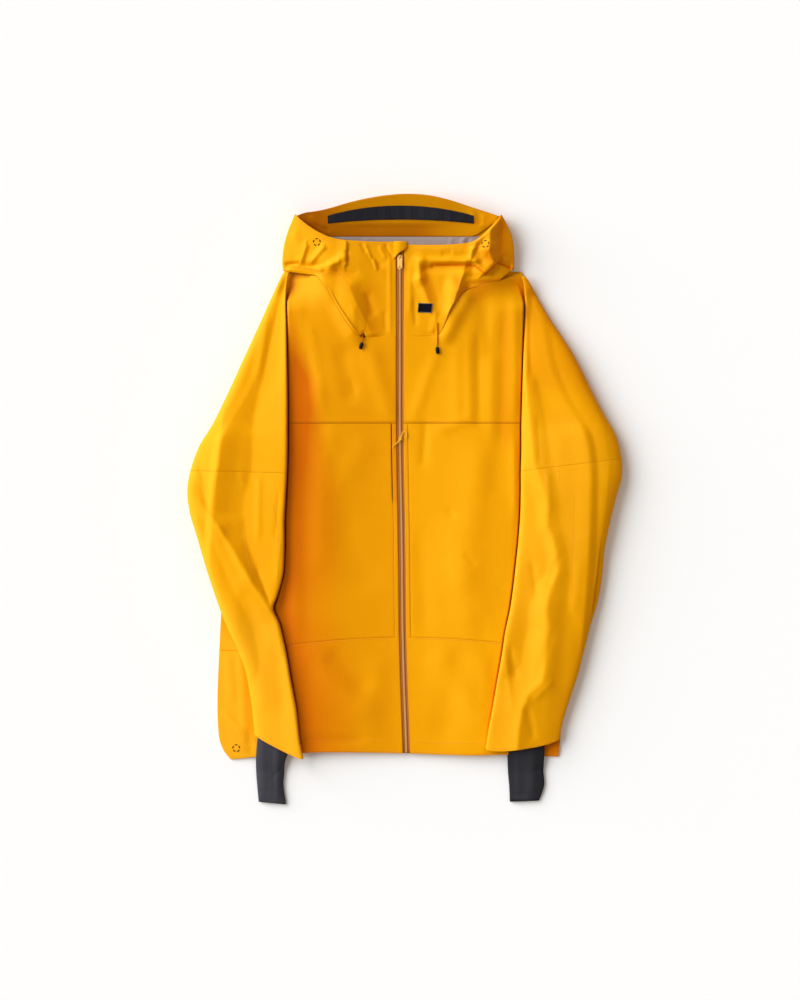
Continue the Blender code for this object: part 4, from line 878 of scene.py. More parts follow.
def front_shade(x, y):
    """Painted shade of the fronts: the sleeve's shadow beside the left sleeve, fading inwards over a
    reach that is wider lower down; a little on the whole left half; in a narrow valley on the right,
    under the hood and in the right hem's corner. The left flank gets painted light."""
    near = x - sleeve_fold_x(y, "left")
    inner, reach = (np.interp(y, LEFT_SHADE["y"], LEFT_SHADE[key]) for key in ("inner", "reach"))
    strength = np.interp(y, LEFT_SHADE_DEPTH["y"], LEFT_SHADE_DEPTH["strength"])
    left = (strength * (1.0 - np.clip((near - inner) / reach, 0.0, 1.0)) * (0.5 + 0.5 * step(near / 15.0))
            * step((near + 12.0) / 10.0))
    valley = (RIGHT_SHADE * np.exp(-((x - 162.0) / 9.0) ** 2) * step((330.0 - y) / 60.0)
              * step((y - 60.0) / 50.0))
    half = step(0.5 - (x + 6.0) / 20.0) * step((x + 206.0) / 20.0)
    painted_shade_under_hood = (0.55 * np.exp(-((x - 116.0) / 22.0) ** 2) * step((y - 300.0) / 50.0)
                  * step((x - 92.0) / 14.0))
    corner = 0.8 * step((x - 214.0) / 12.0) * step((-372.0 - y) / 20.0)
    flank = 0.75 * step((-222.0 - x) / 8.0) * step((-190.0 - y) / 40.0)
    return left + valley + LEFT_HALF_PAINTED_SHADE * half + painted_shade_under_hood + corner - flank


def front_panel(name, side, low, high, edge_in, look, length, rows, ends, edges):
    """Panel of a front between two seams, from the side seam to its edge beside the zip, rolled
    down at its seams by the given ends."""
    def inner(y):
        """X of the panel's edge beside the zip."""
        return zip_x(y) + OUTWARD[side] * edge_in(y)

    along = spread(length, rows)
    middle_x = OUTWARD[side] * 180.0
    level = low(middle_x) + (high(middle_x) - low(middle_x)) * along
    across = front_shares(body_edge(level, side), inner(level), sleeve_fold_x(level, side),
                          FRONT_COLUMNS[name], 46)
    x, y = panel_plan(low, high, lambda at: body_edge(at, side), inner, along, across)
    drop = roll(along, length, *ends)[:, None] + roll(across, 200.0, 0.4, 0.4)
    piece = cloth_sheet(name, stack(x, y, front_surface(x, y) - drop), CLOTH, look,
                        shade=front_shade(x, y), edges=edges)
    return piece


def make_placket(side, look):
    """Narrow strip beside the zip, from the lower seam to the chest seam."""
    length = CHEST_SEAM_Y - LOWER_SEAM_Y - SEAM_GAP
    along, across = spread(length, MIDDLE_ROWS)[:, None], np.linspace(0.0, 1.0, 9)[None, :]
    y = LOWER_SEAM_Y + HALF_SEAM + length * along
    x = zip_x(y) + OUTWARD[side] * (HALF_ZIP_SLOT + PLACKET_WIDTH * across)
    drop = roll(across, PLACKET_WIDTH, 1.0, 0.8, 0.35, 1.2) + roll(along, length, 0.6, 0.6)
    # Painted shade on the left placket beside the pocket's mouth
    pocket = 0.3 * step((y + 8.0) / 10.0) if side == "left" else 0.0
    return cloth_sheet(f"placket_{side}", stack(x, y, front_surface(x, y) - drop), CLOTH, look,
                       shade=front_shade(x, y) + pocket, edges=(0.5, 0.2, 0.7, PLACKET_EDGE_PAINTED_SHADE[side]))


def make_fronts(look):
    """Hem panels, plackets and middle panels; the left pocket's mouth is open above its end."""
    made = {}
    for side in SIDES:
        def zip_edge(y):
            """The hem panels' edge, this far from the middle of the zip."""
            return HALF_ZIP_SLOT + 0.0 * y

        def placket_edge(y, side=side):
            """The middle panels' edge, beyond the placket and the left pocket's mouth."""
            mouth = POCKET_SLOT * step((y - SLOT_END_Y) / 12.0) if side == "left" else 0.0
            return HALF_ZIP_SLOT + PLACKET_WIDTH + SEAM_GAP + mouth

        placket = make_placket(side, look)
        made[f"lower_{side}"] = front_panel(
            f"front_lower_{side}", side, hem, lambda x: lower_seam(x) - HALF_SEAM, zip_edge, look,
            188.0, HEM_ROWS, (0.5, 0.8), (0.4, 0.7, 0.3, 1.0))
        made[f"middle_{side}"] = front_panel(
            f"front_middle_{side}", side, lambda x: lower_seam(x) + HALF_SEAM,
            lambda x: CHEST_SEAM_Y - HALF_SEAM + 0.0 * x, placket_edge, look, 342.0,
            MIDDLE_ROWS, (0.4, 0.2),
            (0.6, 0.15, 0.3, PLACKET_EDGE_PAINTED_SHADE[side]))
    return made


def neck_path(side, outward_shift):
    """Neck seam from the zip to the fold of the hood, moved square to itself."""
    seam = NECK_SEAM[side]
    start = [[zip_x(NECK_Y) + OUTWARD[side] * HALF_ZIP_SLOT, NECK_Y]]
    points = np.concatenate([start, np.column_stack([seam["x"], seam["y"]])])
    along = unit(np.gradient(points, axis=0))
    square = np.stack([along[:, 1], -along[:, 0]], -1) * -OUTWARD[side]
    shift = np.full(len(points), outward_shift)
    if side == "left" and outward_shift > 0:
        shift[CORD_EXIT_ROW] += CORD_EXIT
    return points + square * shift[:, None]


def make_yokes(look):
    """Upper fronts: rows run from the side seam and shoulder to the zip and the neck seam."""
    made = {}
    for side in SIDES:
        foot = CHEST_SEAM_Y + HALF_SEAM
        zip_rows = np.linspace(foot, NECK_Y - HALF_SEAM, 5)[:-1]
        inner = np.concatenate([np.stack([zip_x(zip_rows) + OUTWARD[side] * HALF_ZIP_SLOT, zip_rows], -1),
                                neck_path(side, -HALF_SEAM)])
        last = len(inner) - 1
        arm_y = foot + (SHOULDER_Y - CHEST_SEAM_Y - HALF_SEAM) * np.linspace(0.0, 1.0, last + 1) ** 0.9
        outer = np.stack([body_edge(arm_y, side), arm_y], -1)
        rows = np.linspace(0.0, 1.0, 84)
        straight = np.stack([np.interp(rows * last, np.arange(last + 1), inner[:, k]) for k in (0, 1)], -1)
        fine_in = np.where((rows * last < len(zip_rows))[:, None], straight, spline(inner, rows * last))
        fine_out = spline(outer, rows * last)
        across = front_shares(fine_out[:, 0], fine_in[:, 0], sleeve_fold_x(fine_out[:, 1], side), 5, 50)
        plan = (1 - across)[..., None] * fine_out[:, None] + across[..., None] * fine_in[:, None]
        x, y = plan[..., 0], plan[..., 1]
        drop = roll(rows, 260.0, 0.25, 0.3)[:, None] + roll(across, 200.0, 0.5, 1.0)
        piece = cloth_sheet(f"front_upper_{side}", stack(x, y, front_surface(x, y) - drop), CLOTH, look,
                            shade=front_shade(x, y), edges=(0.2, 0.5, 0.3, 1.0))
        made[f"upper_{side}"] = piece
    return made


def back_top(x):
    """Shoulders and, between them, the neck seam."""
    return np.interp(x, BACK_TOP["x"], BACK_TOP["y"])


def make_back(look):
    """One piece from hem to neck seam, flat on the surface and raised over the folded hood."""
    x, y = panel_plan(hem, back_top, lambda at: body_edge(at, "left"), lambda at: body_edge(at, "right"),
                      np.linspace(0.0, 1.0, 90), np.linspace(0.0, 1.0, 66))
    cloth_sheet("back", stack(x, y, back_height(x, y)), CLOTH, look, upright=1.0)


# Sleeves and gaiters

def fold_angle(share):
    """Angle at which a tube's section has gone the given share of the way from its inner fold."""
    across = 1.0 - 2.0 * share
    return np.arccos(np.sign(across) * abs(across) ** (1.0 / FOLD_SQUARE))


def top_turn(share):
    """Angle over the top of a sleeve from fold to fold: even steps across the plan, closer at the
    folds."""
    return math.pi * (share - 0.055 * np.sin(2 * math.pi * share))


def flat_tube(out, inn, angles, depth, rise, under, powers=(0.75, 0.75)):
    """Plan and height of a tube laid flat, the given depth inside its outer face.

    The angle runs from the seam on the underside round the inner fold, over the top, round the
    outer fold and back to the seam. Across is a cosine squared off towards the folds, and height
    a sine to a power, which goes over the top from the first to the second.
    """
    cosine = np.sign(np.cos(angles)) * abs(np.cos(angles)) ** FOLD_SQUARE
    power = powers[0] + (powers[1] - powers[0]) * step((angles / math.pi - 0.15) / 0.7)
    sine = np.where(np.sin(angles) > 0, abs(np.sin(angles)) ** power, -abs(np.sin(angles)) ** 0.75)
    half = 0.5 * np.linalg.norm(out - inn, axis=-1)[:, None]
    middle = 0.5 * (out + inn)[:, None]
    toward = unit(inn - out)[:, None]
    plan = middle + toward * (cosine * (half - depth))[..., None]
    height = np.where(sine > 0, (rise - under) - depth, under - depth)
    return plan, height * sine


def sleeve_shade(x, y, side):
    """Painted light on the lower left sleeve and on the right one's inner strip. Outside its crest
    the right sleeve gets painted shade near the shoulder and painted light below."""
    if side == "left":
        return -0.6 * step((-150.0 - y) / 60.0)
    crest = np.interp(-y, -RIGHT_CREST["y"], RIGHT_CREST["x"])
    outside = step((x - crest + 2.0) / 7.0)
    deep = np.interp(y, OUTER_PAINTED_LIGHT_AND_SHADE["y"], OUTER_PAINTED_LIGHT_AND_SHADE["tone"])
    return outside * deep - 0.35 * (1.0 - outside) * step((-20.0 - y) / 50.0)


def sleeve_edge(out, inn, side):
    """Share of the way from inner to outer fold at which the body's side seam lies under each
    row, and its Y there: the share is put in and read again until it settles."""
    width = OUTWARD[side] * (out - inn)[:, 0]
    share = 0.5 + 0.0 * width
    for _ in range(8):
        y = inn[:, 1] + (out - inn)[:, 1] * share
        share = OUTWARD[side] * (body_edge(y, side) - inn[:, 0]) / width
    return share, inn[:, 1] + (out - inn)[:, 1] * share, width


def make_sleeve(name, side, first, last, look):
    """One sheet round the arm: its edges meet at the underarm seam and part at the armhole. The
    top falls from its crests, with creases, and rolls in at its seams."""
    rows = first + (last - first) * spread(SLEEVE_LENGTH, SLEEVE_ROWS)
    data = {key: column.copy() for key, column in SLEEVE[side].items()}
    for key, value in SLEEVE_HEAD[side].items():
        data[key][:len(value)] = value
    out, inn = curve(data, "out_x out_y", rows), curve(data, "in_x in_y", rows)
    rise = spline(data["rise"], rows)[:, None]
    at_edge, level, width = sleeve_edge(out, inn, side)
    low_share = SEAM_SHARE + (0.58 - SEAM_SHARE) * step((level + 60.0) / (ARMPIT_Y + 60.0))
    above = step((level - ARMPIT_Y + 14.0) / 14.0)
    share = low_share + (at_edge - low_share) * above
    clear = (HALF_SEAM + ARMHOLE_CLEAR * above) / width
    start = fold_angle(np.clip(share - clear, 0.06, 0.94))
    final = fold_angle(np.clip(share + clear, 0.06, 0.94))
    turn = np.linspace(0.0, 1.0, SLEEVE_COLUMNS)
    first_part = np.clip(turn / UNDER_PART, 0.0, 1.0)
    top_part = np.clip((turn - UNDER_PART) / 0.8, 0.0, 1.0)
    last_part = np.clip((turn - 0.9) / UNDER_PART, 0.0, 1.0)
    angles = (-start[:, None] * (1.0 - first_part) + top_turn(top_part)
              + (math.pi - final)[:, None] * last_part)
    plan, height = flat_tube(out, inn, angles, 0.5 * CLOTH, rise, UNDER_FOLD, FOLD_POWERS[side])
    climb = 1.0 - step((level - ARMPIT_Y + 4.0) / ARMPIT_RUN) * (1.0 - step((level - 322.0) / 20.0))
    x, y = plan[..., 0], plan[..., 1]
    ground = support(x, y, side) * (1.0 + (climb[:, None] - 1.0) * step(angles / math.pi))
    top = np.clip(np.sin(angles), 0.0, 1.0)
    limit = 0.85 * (rise - UNDER_FOLD)
    fall = limit * (1.0 - np.exp(-np.maximum(crest_drop(CRESTS[side], x, y), 0.0) / limit))
    crease = relief(SLEEVE_CREASES[side], x, y) * np.clip(1.5 * top, 0.0, 1.0) - fall * top ** 0.5
    has_cuff = first > 0
    drop = roll((rows - first) / (last - first), SLEEVE_LENGTH, 0.4 if has_cuff else 0.0, 0.4)[:, None]
    drop = drop * np.clip(3.0 * top, 0.0, 1.0)
    bow = CUFF_BOW[side] * step((rows - last + 3.0) / 3.0)[:, None] * top if has_cuff else 0.0
    middle = stack(x, y - bow, ground + UNDER_FOLD + height + crease - drop)
    r = len(rows) // 2
    hub = np.array([*(0.5 * (out + inn)[r]), UNDER_FOLD + 0.4 * float(rise[r, 0])])
    piece = cloth_sheet(name, middle, CLOTH, look, outward=lambda point: point - hub,
                        edges=(*((0.35, 1.0) if has_cuff else (0.2, 0.35)), 0.6, 0.6),
                        shade=sleeve_shade(x, y, side))
    return piece


def gaiter_shade(x, y, side):
    """Painted shade of the gaiters: one darker band on the left, all but a paler middle on the right."""
    if side == "left":
        return 0.4 * step((x + 213.0) / 10.0) + 0.25 * np.exp(-((x + 227.0) / 5.0) ** 2)
    return 0.75 - 0.3 * np.exp(-((x - 190.0) / 14.0) ** 2) + 0.25 * step((-478.0 - y) / 4.0)


def make_gaiter(side, look):
    """Flattened tube that comes down out of the cuff to the surface."""
    data = GAITER[side]
    rows = np.linspace(0, len(data["low"]) - 1, 66)
    out, inn = curve(data, "out_x out_y", rows), curve(data, "in_x in_y", rows)
    rise = spline(data["rise"], rows)[:, None]
    low = np.maximum(spline(data["low"], rows), 0.0)[:, None]
    under = 0.42 * rise
    angles = np.linspace(-0.9, 2 * math.pi - 0.93, 84)[None, :] + 0.0 * rise
    plan, height = flat_tube(out, inn, angles, 0.5 * THIN_CLOTH, rise, under)
    x, y = plan[..., 0], plan[..., 1]
    crease = relief(GAITER_CREASES[side], x, y) * np.clip(1.5 * np.sin(angles), 0.0, 1.0)
    hub = np.array([*(0.5 * (out + inn)[40]), float((low + under)[40, 0])])
    piece = cloth_sheet(f"gaiter_{side}", stack(x, y, low + under + height + crease), THIN_CLOTH, look,
                        outward=lambda point: point - hub,
                        shade=gaiter_shade(x, y, side))


# Hood

def hood_patch(side, across, along):
    """Hood side and collar: a Coons patch between neck seam, zip, face edge and outline."""
    neck = neck_path(side, HALF_SEAM)
    neck = np.column_stack([neck, front_height(neck[:, 0], neck[:, 1])])
    bottom = np.concatenate([neck, curve(HOOD_FOLD_EDGE[side], "x y z", np.linspace(0, 3, 5))])
    bottom = spline(bottom, across * (len(bottom) - 1))
    face = FACE_EDGE[side]
    path = even(curve(face, "x y z", np.linspace(0, len(face["x"]) - 1, 200)), 400)
    top = np.stack([np.interp(across, np.linspace(0, 1, 400), path[:, k]) for k in range(3)], -1)
    zip_rows = bottom[0, 1] + (top[0, 1] - bottom[0, 1]) * along
    first = np.column_stack([bottom[0, 0] + (top[0, 0] - bottom[0, 0]) * along, zip_rows, puff(zip_rows)])
    path = even(curve(HOOD_OUTLINE[side], "x y z", np.linspace(0, 4, 160)), 200)
    last = np.stack([np.interp(along, np.linspace(0, 1, 200), path[:, k]) for k in range(3)], -1)
    return coons(bottom, top, first, last, across, along)


def make_hood_side(side, look):
    """Hood side and collar in one, with folds, creases and pleats, tucked under at the outline."""
    across, along = spread(HOOD_WIDTH, 150), spread(HOOD_LENGTH, 92)
    patch = hood_patch(side, across, along)
    x, y = patch[..., 0], patch[..., 1]
    inside = (step(along * 5.0) * step((1.0 - along) * 4.0))[:, None]
    finer = (step(along * 24.0) * step((1.0 - along) * 26.0))[:, None] * step((1.0 - across) * 14.0)[None, :]
    patch[..., 2] += (inside * fold_height(HOOD_FOLDS, x, y)
                      + finer * (relief(HOOD_CREASES[side], x, y) + pleated(HOOD_PLEATS[side], x, y)))
    patch[..., 2] -= (roll(along, HOOD_LENGTH, 1.0, 0.5)[:, None]
                      + roll(across, HOOD_WIDTH, 0.8, 0.0)[None, :])
    tuck = [patch[:, -1]]
    for inward, height in HOOD_TUCK:
        edge = patch[:, -1].copy()
        edge[:, 0] -= OUTWARD[side] * inward
        edge[:, 2] = np.maximum(edge[:, 2] * height, LOWEST_CLOTH)
        tuck.append(edge)
    tucked = spline(np.stack(tuck), np.linspace(0.0, 3.0, 16)[1:]).transpose(1, 0, 2)
    tucked[..., 2] = np.maximum(tucked[..., 2], LOWEST_CLOTH)
    sheet = np.concatenate([patch, tucked], axis=1)
    upright = np.zeros(sheet.shape[:2])
    upright[0, :-15] = 1.0
    upright[:, 0] = 1.0
    piece = cloth_sheet(f"hood_side_{side}", sheet, CLOTH, look, upright=upright,
                        shade=hood_shade(sheet[..., 0], sheet[..., 1], side))
    return piece


def coons(bottom, top, first, last, across, along):
    """Surface between four edge paths at the given shares across and along."""
    u, v = across[None, :, None], along[:, None, None]
    rows = (1 - v) * bottom[None] + v * top[None]
    cols = (1 - u) * first[:, None] + u * last[:, None]
    corners = ((1 - v) * ((1 - u) * bottom[0] + u * bottom[-1]) + v * ((1 - u) * top[0] + u * top[-1]))
    return rows + cols - corners


def hood_shade(x, y, side):
    """Painted shade in the hood's folds: the deepest of bells across the lines of its folds."""
    total = np.zeros(x.shape)
    for *line, width, strength in zip(*HOOD_PAINTED_SHADE[side].values()):
        total = np.maximum(total, strength * np.exp(-(distance(x, y, line) / width) ** 2))
    return total


def hood_inside_edge(y, side):
    """Side edge of crown and facing, kept inside the hood's sides."""
    return np.interp(y, HOOD_INSIDE[side]["y"], HOOD_INSIDE[side]["x"])


def facing_shade(x, y):
    """Painted shade of facing and crown: deepest at the left corner and below the band, none at the right.
    """
    left = 0.62 * step((-70.0 - x) / 80.0)
    below = 0.5 * step((446.0 - y) / 8.0) * (1.0 - step((x - 10.0) / 80.0))
    return np.maximum(left, below) + 0.22 * (1.0 - step((x - 60.0) / 60.0))


def hood_layer(name, low, high, lift, thickness, counts, creases, look):
    """Layer inside the hood, lifted off its bottom, between two edges and the hood's sides."""
    along, across = (np.linspace(0.0, 1.0, count) for count in counts)
    x, y = panel_plan(low, high, lambda at: hood_inside_edge(at, "left"),
                      lambda at: hood_inside_edge(at, "right"), along, across)
    z = crown_height(x, y) + lift
    if creases is not None:
        z = z + relief(creases, x, y) * (step(along * 4.0) * step((1.0 - along) * 4.0))[:, None]
    cloth_sheet(name, stack(x, y, z), thickness, look, upright=1.0, shade=facing_shade(x, y))


def facing_low(x):
    """Lower edge of the facing, higher at the hood's corners."""
    return LINING_TOP_Y + 26.0 * step((abs(x + 7.0) - 112.0) / 52.0)


def make_lining(look, lift):
    """Strip of the inner face that shows over the collar, with soft creases."""
    x = np.linspace(-138.0, 128.0, 150)[None, :]
    y = np.linspace(LINING_LOW_Y, LINING_TOP_Y - SEAM_GAP, 30)[:, None] + 0.0 * x
    fade = step((y - LINING_LOW_Y) / 8.0) * step((LINING_TOP_Y - y) / 3.0)
    z = crown_height(x, y) + lift + relief(LINING_CREASES, x, y) * fade
    cloth_sheet("hood_lining", stack(x, y, z), THIN_CLOTH, look, upright=1.0)


def make_band(look, lift):
    """Band along the brim: both edges are parabolas, with small wrinkles across it."""
    x = np.linspace(-122.5, 110.5, 200)[None, :]
    bow = 1.0 - ((x + 6.0) / 117.0) ** 2
    share = np.linspace(0.0, 1.0, 18)
    y = 441.5 + 6.5 * bow + share[:, None] * (12.0 + 9.5 * bow)
    wrinkle = sum(height * np.exp(-((x - at) / width) ** 2) for at, width, height
                  in zip(*BAND_WRINKLES.values()))
    z = crown_height(x, y) + lift + wrinkle - roll(share, 18.0, 1, 1, 0.3, 1.2)[:, None]
    cloth_sheet("brim_band", stack(x, y, z), 1.0, look, upright=1.0)


def make_hood(looks):
    """Crown, facing, lining and band, each resting on the one before."""
    facing_lift = 0.5 * CLOTH + LAYER_GAP + 0.5 * THIN_CLOTH
    band_lift = facing_lift + 0.5 * THIN_CLOTH + LAYER_GAP + 0.5
    hood_layer("hood_crown", lambda x: back_top(x) + SEAM_GAP, arc_y, 0.0, CLOTH, (44, 64), None,
               looks["shell"])
    hood_layer("brim_facing", facing_low, lambda x: arc_y(x) - 0.4, facing_lift, THIN_CLOTH, (32, 120),
               FACING_CREASES, looks["facing"])
    make_lining(looks["lining"], facing_lift)
    make_band(looks["band"], band_lift)


def make_pouch(look):
    """The folded crown under the back: rounded rings stacked up, three layers at the edge."""
    turns = np.arange(POUCH_TURNS) / POUCH_TURNS * 2 * math.pi
    levels = np.linspace(0.0, 1.0, 31)
    layer = 1.6 * abs(np.sin(3 * math.pi * levels)) - 1.6 - 3.0 * abs(2 * levels - 1) ** 6
    shrink = np.concatenate([[0.0, 0.35, 0.7], np.ones(len(levels)), [0.7, 0.35, 0.0]])
    grow = np.concatenate([[layer[0]] * 3, layer, [layer[-1]] * 3])
    height = 8.0 * np.concatenate([[0.0] * 3, levels, [1.0] * 3])

    def ring(middle, half, wave, share):
        """One coordinate of each ring: its middle plus its half width times a squared-off wave."""
        return (middle + shrink[:, None] * (half + grow)[:, None] * power(wave, share))[1:-1]

    x, y = ring(-6.0, 128.0, np.cos(turns), 0.55), ring(361.0, 76.0, np.sin(turns), 0.6)
    rings = stack(x, y, height[1:-1, None])
    poles = np.array([[-6.0, 361.0, height[0]], [-6.0, 361.0, height[-1]]])
    verts = np.concatenate([rings.reshape(-1, 3), poles])
    faces = closed_faces(*rings.shape[:2], True)
    finish_mesh("hood_fold_cloth", verts, faces, look, ["hood_fold"], uv=verts[:, :2])


def make_chin_guard(look):
    """Flap from the left collar over the top of the zip, cut back below on a slant."""
    across, along = np.linspace(0.0, 5.0, 40), np.linspace(0.0, 1.0, 34)[:, None]
    bottom, top = curve(GUARD, "x_low y_low", across), curve(GUARD, "x_high y_high", across)
    x = bottom[:, 0] + (top - bottom)[:, 0] * along
    y = bottom[:, 1] + (top - bottom)[:, 1] * along
    z = (puff(y) + spline(GUARD["rise"], across) + 0.9 * along - roll(along, 24.0, 1, 1, 0.5, 1.2)
         - roll(across / 5.0, 22.0, 0, 1, 0.5, 1.2))
    cloth_sheet("chin_guard", stack(x, y, z), CLOTH, look, upright=1.0)


# Zip

def zip_height(y):
    """Height of the shell's cloth along the zip."""
    return np.where(y < NECK_Y, front_height(zip_x(y), np.minimum(y, NECK_Y)), puff(y))


def make_zip(looks):
    """Tapes under both edges of the zip's slot, with painted shade at their edges and below the teeth."""
    bottom = float(hem(0.0)) + 1.0
    tape_drop = 0.5 * CLOTH + SEAM_GAP + 0.5 * THIN_CLOTH
    y = np.linspace(bottom, ZIP_TOP_Y, 190)[:, None]
    for side in SIDES:
        x = zip_x(y) + OUTWARD[side] * TAPE_LINES[None, :]
        z = zip_height(y) - tape_drop + 0.0 * x
        away = abs(x - zip_x(y))
        # Painted shade at the tape's edges and below the teeth
        shade = 0.9 * step((away - 4.3) / 1.4) + 1.0 - step((away - 2.6) / 1.2)
        cloth_sheet(f"zip_tape_{side}", stack(x, y, z), THIN_CLOTH, looks["tape"],
                            upright=1.0, shade=shade)
    make_teeth(np.arange(bottom + 1.6, SLIDER_Y - 10.0, ZIP_PITCH), looks["coil"])


def make_teeth(at, look):
    """Coil of each half of the chain: one bent loop a tooth, over the middle and back down at
    its own side, the two halves half a pitch apart."""
    bend = np.linspace(0.0, math.pi, 7)
    around = np.arange(6) / 6 * 2 * math.pi
    arch_x = 0.35 + 1.75 * (1 - np.cos(bend)) * 0.5
    path = np.stack([arch_x * 0.66 - 0.1, 0.25 * np.cos(bend), 1.05 * np.sin(bend) ** 0.8], -1)
    tangent = unit(np.gradient(path, axis=0))
    normal = unit(np.cross(tangent, [0.0, 1.0, 0.0]))
    binormal = np.cross(tangent, normal)
    loop = (path[:, None] + COIL_WIRE * (np.cos(around)[None, :, None] * normal[:, None]
                                         + np.sin(around)[None, :, None] * binormal[:, None])).reshape(-1, 3)
    index = np.arange(len(loop)).reshape(7, 6)
    verts, faces = [], []
    for side in SIDES:
        mirrored = side == "left"
        rows = at if mirrored else at + 0.5 * ZIP_PITCH
        place = stack(zip_x(rows), rows, zip_height(rows) - COIL_DROP)
        verts.append((place[:, None] + (loop * [OUTWARD[side], 1.0, 1.0])[None]).reshape(-1, 3))
        base = (np.arange(len(at)) * len(loop))[:, None, None] + (0 if mirrored else len(at) * len(loop))
        quads = ring_quads(index, True)
        caps = np.array([index[0][::-1], index[-1]])
        for one in (quads, caps):
            faces += ((one[:, ::-1] if mirrored else one)[None] + base).reshape(-1, one.shape[1]).tolist()
    finish_mesh("zip_teeth", np.concatenate(verts), faces, look, ["zip_chain"])


# Camera, cords and toggles

def make_camera():
    """Straight above the jacket, which lies front up; 1.28 m by 1.6 m in the picture."""
    data = bpy.data.cameras.new("camera")
    data.lens = 135.0
    data.sensor_width = 36.0
    data.clip_start = 0.1
    data.clip_end = 100.0
    camera = bpy.data.objects.new("camera", data)
    camera.location = CAMERA_PLACE
    bpy.context.scene.collection.objects.link(camera)
    bpy.context.scene.camera = camera


def frames_along(path):
    """Two directions square to a path at each of its points: level, and upward from it."""
    tangent = unit(np.gradient(path, axis=0))
    across = np.cross(tangent, UP)
    weak = np.linalg.norm(across, axis=1) < 0.05
    across[weak] = np.cross(tangent[weak], [0.0, 1.0, 0.0])
    across = unit(across)
    return across, np.cross(across, tangent)


def turned_form(path, wide, high, turns=24, frame=None):
    """Closed form along a path: an ellipse of the given half width and half height at each
    point, with a pole at each end. Vertices, faces and flat coordinates."""
    across, upward = frame or frames_along(path)
    angle = np.arange(turns) / turns * 2 * math.pi
    rings = (path[1:-1, None] + wide[1:-1, None, None] * np.cos(angle)[None, :, None] * across[1:-1, None]
             + high[1:-1, None, None] * np.sin(angle)[None, :, None] * upward[1:-1, None])
    verts = np.concatenate([rings.reshape(-1, 3), path[:1], path[-1:]])
    length = np.concatenate([[0.0], np.cumsum(np.linalg.norm(np.diff(path, axis=0), axis=1))])
    girth = angle[None, :] * max(float(wide.max()), 0.3)
    uv = np.concatenate([stack(girth, length[1:-1, None], 0.0)[..., :2].reshape(-1, 2),
                         [[0.0, 0.0], [0.0, length[-1]]]])
    return verts, closed_faces(len(rings), turns), uv


def path_length(path):
    """Length of a path of points."""
    return float(np.linalg.norm(np.diff(path, axis=0), axis=1).sum())


def make_cord(name, points, look):
    """Round braided cord along a path, its ends rounded off."""
    path = even(points, max(12, int(path_length(points) / 0.7)))
    share = np.linspace(0.0, 1.0, len(path)) * path_length(path)
    near = np.minimum(share, share[-1] - share)
    tip = 1.0 - np.clip(near / (0.4 * CORD_WIDTH), 0, 1)
    radius = 0.5 * CORD_WIDTH * np.sqrt(np.clip(1.0 - tip ** 2, 0, 1))
    verts, faces, uv = turned_form(path, radius, radius, 14)
    return finish_mesh(name + "_braid", verts, faces, look, [name], uv=uv), path


def make_toggle(side, end, direction, look):
    """Barrel toggle: slim neck, swelling and a slight waist, flattened, with a rounded tip."""
    direction = np.array(direction, float)
    direction /= np.linalg.norm(direction)
    at, swell = TOGGLE_FORM["along"], TOGGLE_FORM["swell"]
    path = np.array(end) + direction * (TOGGLE_GAP + at[:, None] * TOGGLE_LENGTH)
    path += direction * np.linspace(-1e-4, 1e-4, len(at))[:, None]
    verts, faces, uv = turned_form(path, 0.5 * TOGGLE_WIDTH * swell, 0.31 * TOGGLE_WIDTH * swell, 30)
    return finish_mesh(f"toggle_{side}_barrel", verts, faces, look, [f"toggle_{side}"], uv=uv)


def top_of(parts, x, y):
    """Height of the highest of the pieces under each place, millimetres."""
    tops = np.full(np.size(x), -1.0)
    for part in parts:
        if part.name not in TREES:
            TREES[part.name] = BVHTree.FromPolygons([v.co for v in part.data.vertices],
                                                    [p.vertices for p in part.data.polygons])
        for k, place in enumerate(zip(np.ravel(x) * MM, np.ravel(y) * MM)):
            hit = TREES[part.name].ray_cast(Vector((*place, 1.0)), Vector((0.0, 0.0, -1.0)))[0]
            if hit is not None:
                tops[k] = max(tops[k], hit.z / MM)
    return tops.reshape(np.shape(x))


def laid_on(part, plan, lift=0.1, rounds=2):
    """Path over a piece: its plan, at the piece's smoothed height and a lift."""
    tops = top_of([part], plan[:, 0], plan[:, 1])
    return np.column_stack([plan, smooth_path(tops, rounds) + lift])


def smooth_path(values, rounds=3):
    """Values with each moved halfway to the mean of its neighbours, a number of times."""
    for _ in range(rounds):
        values = np.concatenate([values[:1], 0.25 * values[:-2] + 0.5 * values[1:-1] + 0.25 * values[2:],
                                 values[-1:]])
    return values


def make_left_cord(looks):
    """Out of the collar over the neck seam, with its toggle on the yoke."""
    left = curve(LEFT_CORD, "x y lift", np.linspace(0, 8, 60))
    left[:, 2] += front_height(left[:, 0], left[:, 1]) + 0.15
    toggle = make_toggle("left", left[-1] + TOGGLE_LIFT, LEFT_TOGGLE_TURN, looks["toggle"])
    piece, path = make_cord("cord_left", left, looks["cord"])


def make_right_cord(looks, panels):
    """Down over collar and yoke, on the highest cloth near each place, with its toggle."""
    plan = even(curve(RIGHT_CORD_PLAN, "x y", np.linspace(0, 6, 60)), 60)
    top = top_of(panels, plan[:, 0], plan[:, 1])
    wide = np.array([top[max(0, k - 3):k + 4].max() for k in range(len(top))])
    right = np.column_stack([plan, smooth_path(wide, 4) + 0.5 * CORD_WIDTH + 0.35])
    toggle = make_toggle("right", right[-1] + TOGGLE_LIFT, RIGHT_TOGGLE_TURN, looks["toggle"])
    piece, path = make_cord("cord_right", right, looks["cord_dark"])


